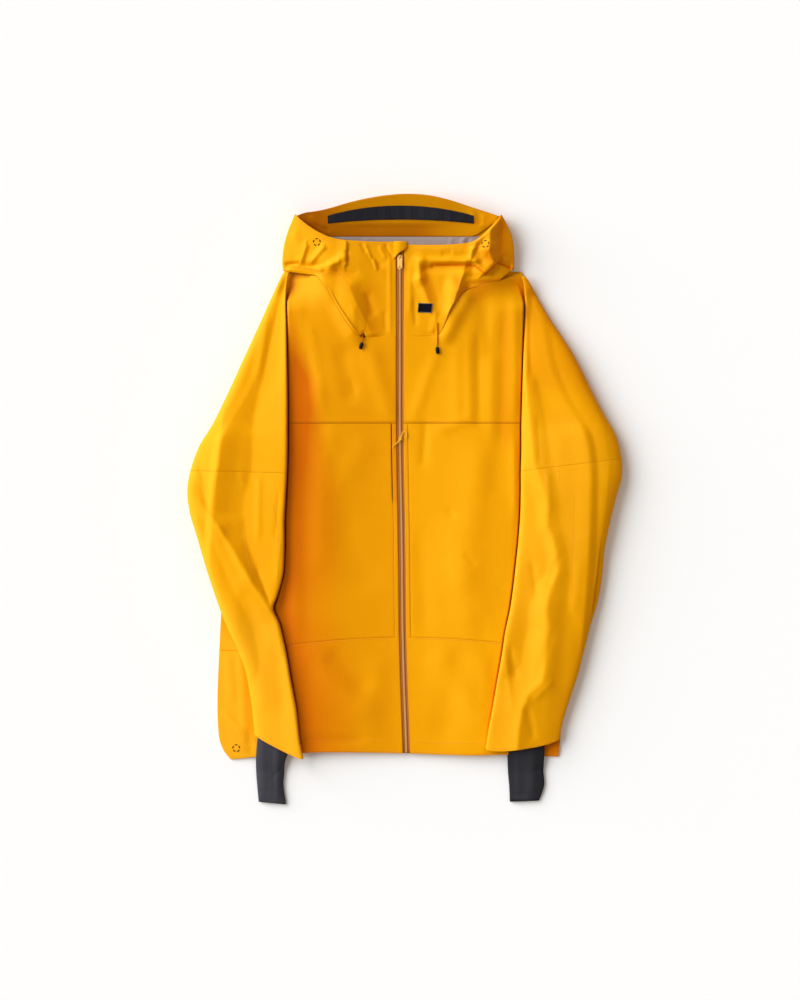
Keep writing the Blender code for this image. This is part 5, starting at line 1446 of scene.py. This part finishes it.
def make_pocket_cord(looks):
    """Loop over the zip with a knot on it, wound as a trefoil."""
    plan = even(curve(POCKET_CORD_PLAN, "x y", np.linspace(0, 10, 90)), 90)
    height = front_surface(plan[:, 0], plan[:, 1]) + 0.5 * CLOTH + 0.5 * CORD_WIDTH + 0.8
    knot_at = curve(POCKET_CORD_PLAN, "x y", np.array([KNOT_ROW]))[0]
    centre = np.array([*knot_at, float(height[33]) + 0.2])
    turn = np.linspace(0.0, 2 * math.pi, 60)
    wound = centre + np.stack([2.3 * np.cos(turn) + 1.1 * np.cos(2 * turn),
                               2.1 * np.sin(turn) - 1.2 * np.sin(2 * turn), 0.7 * np.sin(3 * turn)], -1)
    radius = np.full(len(turn), 0.95)
    verts, faces, uv = turned_form(wound, radius, radius, 10)
    knot = finish_mesh("pocket_cord_knot", verts, faces, looks["cord_bright"], [], uv=uv)
    piece, path = make_cord("pocket_cord", np.column_stack([plan, height]), looks["cord_bright"])


# Label, stitches and slider

def make_label(looks, panel):
    """Woven patch on the collar with a ridge round its edge, sewn on all round."""
    low, high = LABEL_EDGES["low"], LABEL_EDGES["high"]
    along, across = np.linspace(0, 1, 26)[:, None, None], np.linspace(0, 1, 40)[None, :, None]
    plan = ((1 - along) * ((1 - across) * low[0] + across * low[1])
            + along * ((1 - across) * high[0] + across * high[1]))
    x, y = plan[..., 0], plan[..., 1]
    z = top_of([panel], x, y)
    for axis in (0, 1):
        z = np.apply_along_axis(smooth_path, axis, z, 4)
    edge = np.minimum(np.minimum(along, 1 - along) * 15.0, np.minimum(across, 1 - across) * 22.5)[..., 0]
    z = z + 0.75 + 0.22 * np.exp(-((edge - 0.9) / 0.5) ** 2) - 0.3 * np.exp(-(edge / 0.35) ** 2)
    points = stack(x, y, z)
    cloth_sheet("label_patch", points, 0.9, looks["label"], upright=1.0)
    ring = np.concatenate([points[1, 1:-1], points[1:-1, -2], points[-2, -2:0:-1], points[-2:0:-1, 1]])
    border = ring + [0.0, 0.0, 0.5]
    make_stitches("label_stitches", [np.concatenate([border, border[:1]])], looks["thread_grey"],
                  1.9, 1.5, 0.3)


def make_stitches(name, paths, look, pitch=3.2, length=2.3, width=0.32):
    """Row of stitches: each a small rounded dash lying along its path."""
    angle = np.arange(6) / 6 * 2 * math.pi
    at = np.array([-0.5, -0.3, 0.3, 0.5])
    thick = np.array([0.45, 1.0, 1.0, 0.45])
    index = np.arange(24).reshape(4, 6)
    verts, faces, base = [], [], 0
    for path in paths:
        fine = even(path, 2 * max(2, int(path_length(path) / pitch)) + 1)
        middle, way = fine[1::2], unit(fine[2::2] - fine[:-2:2])
        across = unit(np.cross(way, UP))
        upward = np.cross(across, way)
        rings = (middle[:, None, None] + (length * at)[None, :, None, None] * way[:, None, None]
                 + (width * thick)[None, :, None, None]
                 * (np.cos(angle)[None, None, :, None] * across[:, None, None]
                    + 0.7 * np.sin(angle)[None, None, :, None] * upward[:, None, None]))
        verts.append(rings.reshape(-1, 3))
        number = np.arange(len(middle))[:, None, None] * 24 + base
        faces += (ring_quads(index)[None] + number).reshape(-1, 4).tolist()
        faces += (index[0][None] + number[:, 0]).tolist()
        faces += (index[-1][::-1][None] + number[:, 0]).tolist()
        base += len(middle) * 24
    finish_mesh(name, np.concatenate(verts), faces, look, [])


def make_rings(looks, carriers):
    """Dashed ring sewn through the cloth: five arcs of thick dark thread round a circle, lying on
    the cloth under them."""
    for (place, x, y), carrier in zip(RINGS, carriers):
        verts, faces, base = [], [], 0
        for k in range(5):
            angle = math.radians(20.0 + 72.0 * k) + np.linspace(-0.47, 0.47, len(ARC_TAPER))
            plan = np.stack([x + RING_REACH * np.cos(angle), y + RING_REACH * np.sin(angle)], -1)
            part, quads, _ = turned_form(laid_on(carrier, plan, 0.25), ARC_TAPER, 0.7 * ARC_TAPER, 8)
            faces += [[v + base for v in face] for face in quads]
            verts.append(part)
            base += len(part)
        finish_mesh(f"sewn_ring_{place}", np.concatenate(verts), faces, looks["thread_dark"], [])


def on_front(x, y, lift=0.12):
    """Points on top of the front's cloth."""
    return np.column_stack([x, y, front_surface(x, y) + 0.5 * CLOTH + lift])


def make_front_stitches(looks):
    """Stitches of hem, plackets, zip edges, chest and lower seams."""
    rows = []
    for side in SIDES:
        def along_zip(low, high, count, away, side=side):
            """A row of stitches beside the zip, between two heights on the front."""
            y = np.linspace(low, high, count)
            rows.append(on_front(zip_x(y) + OUTWARD[side] * (HALF_ZIP_SLOT + away), y))

        x = -2.0 + OUTWARD[side] * np.linspace(HALF_ZIP_SLOT + 3.0, 196.0, 90)
        for up in (3.0, HEM_WIDTH):
            rows.append(on_front(x, hem(x) + up))
        along_zip(LOWER_SEAM_Y + 4.0, CHEST_SEAM_Y - 3.0, 120, PLACKET_WIDTH - 1.5)
        along_zip(LOWER_SEAM_Y + 4.0, CHEST_SEAM_Y - 3.0, 120, ZIP_STITCH)
        along_zip(-400.0, LOWER_SEAM_Y - 3.0, 60, ZIP_STITCH)
        along_zip(CHEST_SEAM_Y + 3.0, NECK_Y - 3.0, 60, ZIP_STITCH)
        x = -4.0 + OUTWARD[side] * np.linspace(HALF_ZIP_SLOT + 12.0, 188.0, 90)
        rows.append(on_front(x, lower_seam(x) - 2.2))
        rows.append(on_front(x, CHEST_SEAM_Y + 2.2 + 0.0 * x))
    make_stitches("front_stitches", rows, looks["thread"])


def make_sleeve_stitches(looks, panels):
    """Stitches along the strips of a sleeve, its elbow darts and its cuff."""
    for side in SIDES:
        lower = panels[f"sleeve_{side}"]
        rows = [laid_on(lower, even(np.array(line, float), 24))
                for line in SLEEVE_LINES[side] + ELBOW_DARTS[side]]
        data = SLEEVE[side]
        near_cuff = len(data["rise"]) - 1 - 0.08
        out, inn = curve(data, "out_x out_y", near_cuff), curve(data, "in_x in_y", near_cuff)
        share = np.linspace(0.06, 0.94, 50)[:, None]
        plan = out + (inn - out) * share
        plan[:, 1] -= CUFF_BOW[side] * np.sin(math.pi * share[:, 0])
        if top_of([lower], plan[:, 0], plan[:, 1]).min() > 0.0:
            rows.append(laid_on(lower, plan))
        make_stitches(f"sleeve_stitches_{side}", rows, looks["thread"])


def make_hood_stitches(looks, panels):
    """Stitches below the face edge of the hood, beside the zip and along the neck seam."""
    for side in SIDES:
        hood = panels[f"hood_{side}"]
        last = len(FACE_EDGE[side]["x"]) - 1.4
        face = even(curve(FACE_EDGE[side], "x y z", np.linspace(0.3, last, 120)), 90)[:, :2]
        plans = [face - [0.0, down] for down in (3.0, 7.0)] + [even(neck_path(side, 2.4)[2:], 80)[:72]]
        y = np.linspace(NECK_Y + 4.0, 376.0, 60)
        x = zip_x(y) + OUTWARD[side] * (HALF_ZIP_SLOT + (8.6 if side == "left" else 2.0))
        rows = [laid_on(hood, plan[top_of([hood], plan[:, 0], plan[:, 1]) > 5.0]) for plan in plans]
        rows.append(laid_on(hood, np.column_stack([x, y])))
        make_stitches(f"hood_stitches_{side}", rows, looks["thread"])


def make_slider(looks):
    """Slider body, a squared-off ellipsoid that widens upwards in Y, then its bridge and tab."""
    x, base = float(zip_x(SLIDER_Y)), float(zip_height(SLIDER_Y))
    low = base - 0.5 * CLOTH + 0.1
    centre = np.array([x, SLIDER_Y - 2.6, low + 1.25])
    u = np.linspace(-math.pi, math.pi, 49)[:-1]
    v = np.linspace(-0.5 * math.pi, 0.5 * math.pi, 25)[1:-1, None]
    taper = 1.0 + 0.10 * power(np.sin(u), 0.6)
    rings = stack(centre[0] + 4.3 * taper * power(np.cos(v), 0.35) * power(np.cos(u), 0.45),
                  centre[1] + 6.0 * power(np.cos(v), 0.35) * power(np.sin(u), 0.45),
                  centre[2] + 1.25 * power(np.sin(v), 0.6) + 0.0 * u)
    verts = np.concatenate([rings.reshape(-1, 3), [centre - [0, 0, 1.25]], [centre + [0, 0, 1.25]]])
    finish_mesh("slider_body", verts, closed_faces(*rings.shape[:2], True), looks["hard"],
                ["slider"])
    axis = np.array([x, SLIDER_Y, low + 2.5 + 0.95])
    make_bridge(looks["hard"], axis)
    make_tab(looks["hard"], axis)


def make_bridge(look, axis):
    """Bridge over the tab's eye: a flattened wire along an arch in the plane across X."""
    angle = np.linspace(-0.35, math.pi + 0.35, 30)
    arch = stack(axis[0], axis[1] + 1.9 * np.cos(angle), axis[2] + 1.9 * np.sin(angle))
    arch = np.concatenate([arch[:1], arch, arch[-1:]])
    way = np.gradient(arch, axis=0)
    way[0], way[-1] = way[1], way[-2]
    way = unit(way)
    across = np.zeros_like(way) + [1.0, 0.0, 0.0]
    radius = np.full(len(arch), 0.5)
    verts, faces, _ = turned_form(arch, 1.7 * radius, radius, 14, (across, np.cross(way, across)))
    finish_mesh("slider_bridge", verts, faces, look, ["slider"])


def tab_half(hole, far, corner):
    """Half of the pull tab round one of its holes, from the line in its middle to its far end:
    five rings from the hole's rim to a rounded outline, on both faces. Points and faces."""
    angle = (np.arange(TAB_TURNS) + 0.5) / TAB_TURNS * 2 * math.pi
    way = np.stack([np.cos(angle), np.sin(angle)], -1)
    reach = np.minimum(TAB_HALF_WIDE / np.maximum(abs(way[:, 0]), 1e-6),
                       0.5 * abs(far - TAB_SPLIT) / np.maximum(abs(way[:, 1]), 1e-6))
    outline = np.array([0.0, 0.5 * (TAB_SPLIT + far)]) + way * reach[:, None]
    away = (outline[:, 1] - TAB_SPLIT) * np.sign(far - TAB_SPLIT)
    close = np.clip(corner - abs(outline[:, 1] - far), 0, corner)
    inset = corner - np.sqrt(np.maximum(corner ** 2 - close ** 2, 0.0))
    outline[:, 0] = np.sign(outline[:, 0]) * np.minimum(abs(outline[:, 0]), TAB_HALF_WIDE - inset)
    inner = np.array(hole[:2]) + way * np.array(hole[2:])
    drops = np.repeat(TAB_RINGS["drop"][:, None], TAB_TURNS, axis=1)
    drops[-1] = np.where(away < 0.01, 0.0, drops[-1])
    flat = inner[None] + (outline - inner)[None] * TAB_RINGS["share"][:, None, None]
    top = np.concatenate([flat, (TAB_HALF_THICK - drops)[..., None]], -1)
    low = np.concatenate([flat, (drops - TAB_HALF_THICK)[..., None]], -1)
    index = np.arange(flat[..., 0].size).reshape(flat.shape[:2])
    under = index + index.size
    after, beneath = np.roll(index, -1, axis=1), np.roll(under, -1, axis=1)
    faces = ring_quads(index).tolist() + ring_quads(under, True).tolist()
    faces += np.stack([index[0], after[0], beneath[0], under[0]], -1).tolist()
    shared = (away < 0.01) & (np.roll(away, -1) < 0.01)
    faces += np.stack([index[-1], under[-1], beneath[-1], after[-1]], -1)[~shared].tolist()
    return np.concatenate([top.reshape(-1, 3), low.reshape(-1, 3)]), faces


def make_tab(look, axis):
    """Pull tab: a rounded plate with an eye at its bridge and a hole near its free end, as two
    halves joined along the line in the middle."""
    eye, eye_faces = tab_half((0.0, -2.2, 1.5, 1.6), 0.6, 1.6)
    hole, hole_faces = tab_half((0.0, -16.5, 1.15, 1.15), -19.5, 3.0)
    verts = np.concatenate([eye, hole])
    faces = eye_faces + [[v + len(eye) for v in face] for face in hole_faces]
    rounded = np.round(verts / 1e-3).astype(int)
    _, first, number = np.unique(rounded, axis=0, return_index=True, return_inverse=True)
    number = number.reshape(-1)
    faces = [[int(number[v]) for v in face] for face in faces]
    finish_mesh("pull_tab_plate", verts[first] + axis, faces, look, ["pull_tab"], "pull_tab")


# Finishes

def put(tree, kind, settings=None, **inputs):
    """A node with its settings. Each input is a value or the socket that feeds it, named by its
    label with underscores, or by its number after an n."""
    made = tree.nodes.new("ShaderNode" + kind)
    for key, value in (settings or {}).items():
        setattr(made, key, value)
    for key, value in inputs.items():
        socket = made.inputs[int(key[1:]) if key[1:].isdigit() else key.replace("_", " ")]
        if isinstance(value, bpy.types.NodeSocket):
            tree.links.new(value, socket)
        else:
            socket.default_value = value
    return made


def mix(tree, factor, first, second, **settings):
    """Colour between a colour or socket and a second colour, by a factor."""
    first = first if isinstance(first, bpy.types.NodeSocket) else (*first, 1.0)
    return put(tree, "Mix", {"data_type": "RGBA", **settings}, n0=factor, n6=first,
               n7=(*second, 1.0)).outputs[2]


def new_look(name):
    """A material, its tree and its main shader."""
    made = bpy.data.materials.new(name)
    made.use_nodes = True
    return made, made.node_tree, made.node_tree.nodes["Principled BSDF"]


def make_group(name, inputs, outputs):
    """A shader node group with named sockets: its tree, its input node and its output node."""
    tree = bpy.data.node_groups.new(name, "ShaderNodeTree")
    for label, kind in inputs:
        tree.interface.new_socket(name=label, in_out="INPUT", socket_type=kind)
    for label, kind in outputs:
        tree.interface.new_socket(name=label, in_out="OUTPUT", socket_type=kind)
    return tree, tree.nodes.new("NodeGroupInput"), tree.nodes.new("NodeGroupOutput")


def weave_group():
    """Plain weave on the cloth's own coordinates in metres: crossing threads as a height, and
    slow shade and crinkle values from noise."""
    tree, given, out = make_group(
        "cloth_weave", [("Place", "NodeSocketVector"), ("Threads", "NodeSocketFloat")],
        [("Height", "NodeSocketFloat"), ("Shade", "NodeSocketFloat"), ("Crinkle", "NodeSocketFloat")])
    place = given.outputs["Place"]
    scaled = put(tree, "VectorMath", {"operation": "SCALE"}, n0=place, Scale=given.outputs["Threads"])
    split = put(tree, "SeparateXYZ", n0=scaled.outputs[0])
    waves = [put(tree, "Math", {"operation": "SINE"}, n0=split.outputs[axis]).outputs[0] for axis in (0, 1)]
    crossed = put(tree, "Math", {"operation": "MULTIPLY"}, n0=waves[0], n1=waves[1])
    slub = put(tree, "TexNoise", Vector=place, Scale=900.0, Detail=2.0)
    height = put(tree, "Math", {"operation": "MULTIPLY_ADD"}, n0=slub.outputs[0], n1=0.6,
                 n2=crossed.outputs[0])
    shade = put(tree, "TexNoise", Vector=place, Scale=11.0, Detail=3.0, Roughness=0.55)
    crinkle = put(tree, "TexNoise", Vector=place, Scale=60.0, Detail=4.0, Roughness=0.6, Distortion=0.6)
    for label, node in (("Height", height), ("Shade", shade), ("Crinkle", crinkle)):
        tree.links.new(node.outputs[0], out.inputs[label])
    return tree


def cloth_look(name, colours, roughness, threads=9000.0, weave=0.00004, crinkle=0.0004, seam_shade=0.4,
               gloss=0.04, lean_painted_light=None):
    """Woven cloth: two near colours mixed by slow noise, painted paler where it leans towards the key
    light and deeper where it leans away, with painted shade along its seams and where the shade
    attribute asks, rougher in patches of noise, with thread and crinkle relief."""
    made, tree, shader = new_look(name)
    place = put(tree, "TexCoord")
    weaving = put(tree, "Group", {"node_tree": GROUPS["weave"]}, Place=place.outputs["UV"],
                  Threads=threads)
    ramp = put(tree, "MapRange", n0=weaving.outputs["Shade"], n1=0.3, n2=0.7)
    colour = mix(tree, ramp.outputs[0], colours[0], colours[1])
    # Painted light and shade by how far the cloth leans towards the key light
    if lean_painted_light is not None:
        way = put(tree, "Attribute", {"attribute_name": "lean_painted_light"}).outputs["Fac"]
        away = put(tree, "Math", {"operation": "MULTIPLY"}, n0=way, n1=-1.0).outputs[0]
        for factor, tone in ((way, lean_painted_light[0]), (away, lean_painted_light[1])):
            colour = mix(tree, factor, colour, tone, clamp_factor=True)
    # Painted shade along the seams, then the painted shade handed in
    seam = put(tree, "Attribute", {"attribute_name": "seam"})
    painted_seam_shade = put(tree, "Math", {"operation": "MULTIPLY"}, n0=seam.outputs["Fac"], n1=seam_shade)
    shade = put(tree, "Attribute", {"attribute_name": "shade"})
    colour = mix(tree, painted_seam_shade.outputs[0], colour, colours[2])
    colour = mix(tree, shade.outputs["Fac"], colour, colours[3])
    tree.links.new(colour, shader.inputs["Base Color"])
    rough = put(tree, "MapRange", n0=weaving.outputs["Crinkle"], n3=roughness - 0.06, n4=roughness + 0.08)
    tree.links.new(rough.outputs[0], shader.inputs["Roughness"])
    shader.inputs["Specular IOR Level"].default_value = gloss
    first = put(tree, "Bump", Strength=1.0, Distance=crinkle, Height=weaving.outputs["Crinkle"])
    second = put(tree, "Bump", Strength=1.0, Distance=weave, Height=weaving.outputs["Height"],
                 Normal=first.outputs[0])
    tree.links.new(second.outputs[0], shader.inputs["Normal"])
    return made


def hard_look(name, colour, roughness, grain=1200.0, gloss=0.5):
    """Moulded plastic, enamel or thread with a fine grain and handling marks."""
    made, tree, shader = new_look(name)
    place = put(tree, "TexCoord").outputs["Object"]
    noise = put(tree, "TexNoise", Vector=place, Scale=grain, Detail=3.0)
    marks = put(tree, "TexNoise", Vector=place, Scale=0.3 * grain, Detail=2.0)
    pale = tuple(min(1.0, 1.15 * value + 0.004) for value in colour)
    tree.links.new(mix(tree, marks.outputs[0], colour, pale), shader.inputs["Base Color"])
    rough = put(tree, "MapRange", n0=noise.outputs[0], n3=roughness - 0.08, n4=roughness + 0.1)
    tree.links.new(rough.outputs[0], shader.inputs["Roughness"])
    shader.inputs["Specular IOR Level"].default_value = gloss
    bump = put(tree, "Bump", Strength=0.4, Distance=0.00005, Height=noise.outputs[0])
    tree.links.new(bump.outputs[0], shader.inputs["Normal"])
    return made


def make_looks():
    """Every finish by name. Cloth colours: first, second, painted shade along seams, painted shade."""
    GROUPS["weave"] = weave_group()
    looks = {key: cloth_look(name, colours, rough, *relief_sizes, **more)
             for key, name, colours, rough, relief_sizes, more in CLOTHS}
    looks.update({key: hard_look(name, *rest) for key, name, *rest in HARD_PARTS})
    return looks


# Light and surface

def make_light(name, place, power, spread_angle, colour):
    """Broad even light from far away in the direction of a place."""
    data = bpy.data.lights.new(name, "SUN")
    data.angle = math.radians(spread_angle)
    data.energy = power
    data.color = colour
    lamp = bpy.data.objects.new(name, data)
    lamp.location = place
    lamp.rotation_euler = (-Vector(place)).to_track_quat("-Z", "Y").to_euler()
    bpy.context.scene.collection.objects.link(lamp)


def make_surroundings():
    """White table, soft key from the picture's left, weak fill from the right, pale world."""
    mesh = bpy.data.meshes.new("table_top")
    corners = [(-TABLE_HALF, -TABLE_HALF), (TABLE_HALF, -TABLE_HALF), (TABLE_HALF, TABLE_HALF),
               (-TABLE_HALF, TABLE_HALF)]
    mesh.from_pydata([(x, y, -0.0004) for x, y in corners], [], [(0, 1, 2, 3)])
    table_top = bpy.data.objects.new("table_top", mesh)
    bpy.context.scene.collection.objects.link(table_top)
    paint, _, shader = new_look("table_paint")
    shader.inputs["Base Color"].default_value = (0.93, 0.93, 0.93, 1.0)
    shader.inputs["Roughness"].default_value = 0.9
    mesh.materials.append(paint)
    make_light("key", (-5.0, 2.2, 3.4), 4.3, 60.0, (0.98, 1.0, 1.03))
    make_light("fill", (2.0, -0.8, 6.8), 0.4, 90.0, (1.0, 0.95, 0.88))
    world = bpy.data.worlds.new("studio")
    bpy.context.scene.world = world
    world.use_nodes = True
    back = world.node_tree.nodes["Background"]
    back.inputs["Color"].default_value = (1.0, 0.9, 0.78, 1.0)
    back.inputs["Strength"].default_value = 0.25
    bpy.context.scene.view_settings.view_transform = "Standard"


def main():
    """Camera and cords first, then the panels, what is sewn to them, and the surroundings."""
    make_camera()
    looks = make_looks()
    shell = looks["shell"]
    make_left_cord(looks)
    make_pocket_cord(looks)
    panels = make_fronts(shell)
    panels.update(make_yokes(shell))
    make_back(shell)
    for side in SIDES:
        last = len(SLEEVE[side]["rise"]) - 1
        make_sleeve(f"sleeve_upper_{side}", side, 0.0, ELBOW_ROW - 0.004, shell)
        panels[f"sleeve_{side}"] = make_sleeve(f"sleeve_lower_{side}", side, ELBOW_ROW + 0.004, last, shell)
        make_gaiter(side, looks["charcoal"])
        panels[f"hood_{side}"] = make_hood_side(side, shell)
    make_hood(looks)
    make_pouch(shell)
    make_chin_guard(shell)
    make_zip(looks)
    make_slider(looks)
    make_right_cord(looks, [panels["hood_right"], panels["upper_right"]])
    make_label(looks, panels["hood_right"])
    make_front_stitches(looks)
    make_sleeve_stitches(looks, panels)
    make_hood_stitches(looks, panels)
    make_rings(looks, [panels["hood_left"], panels["hood_right"], panels["lower_left"]])
    make_surroundings()


main()
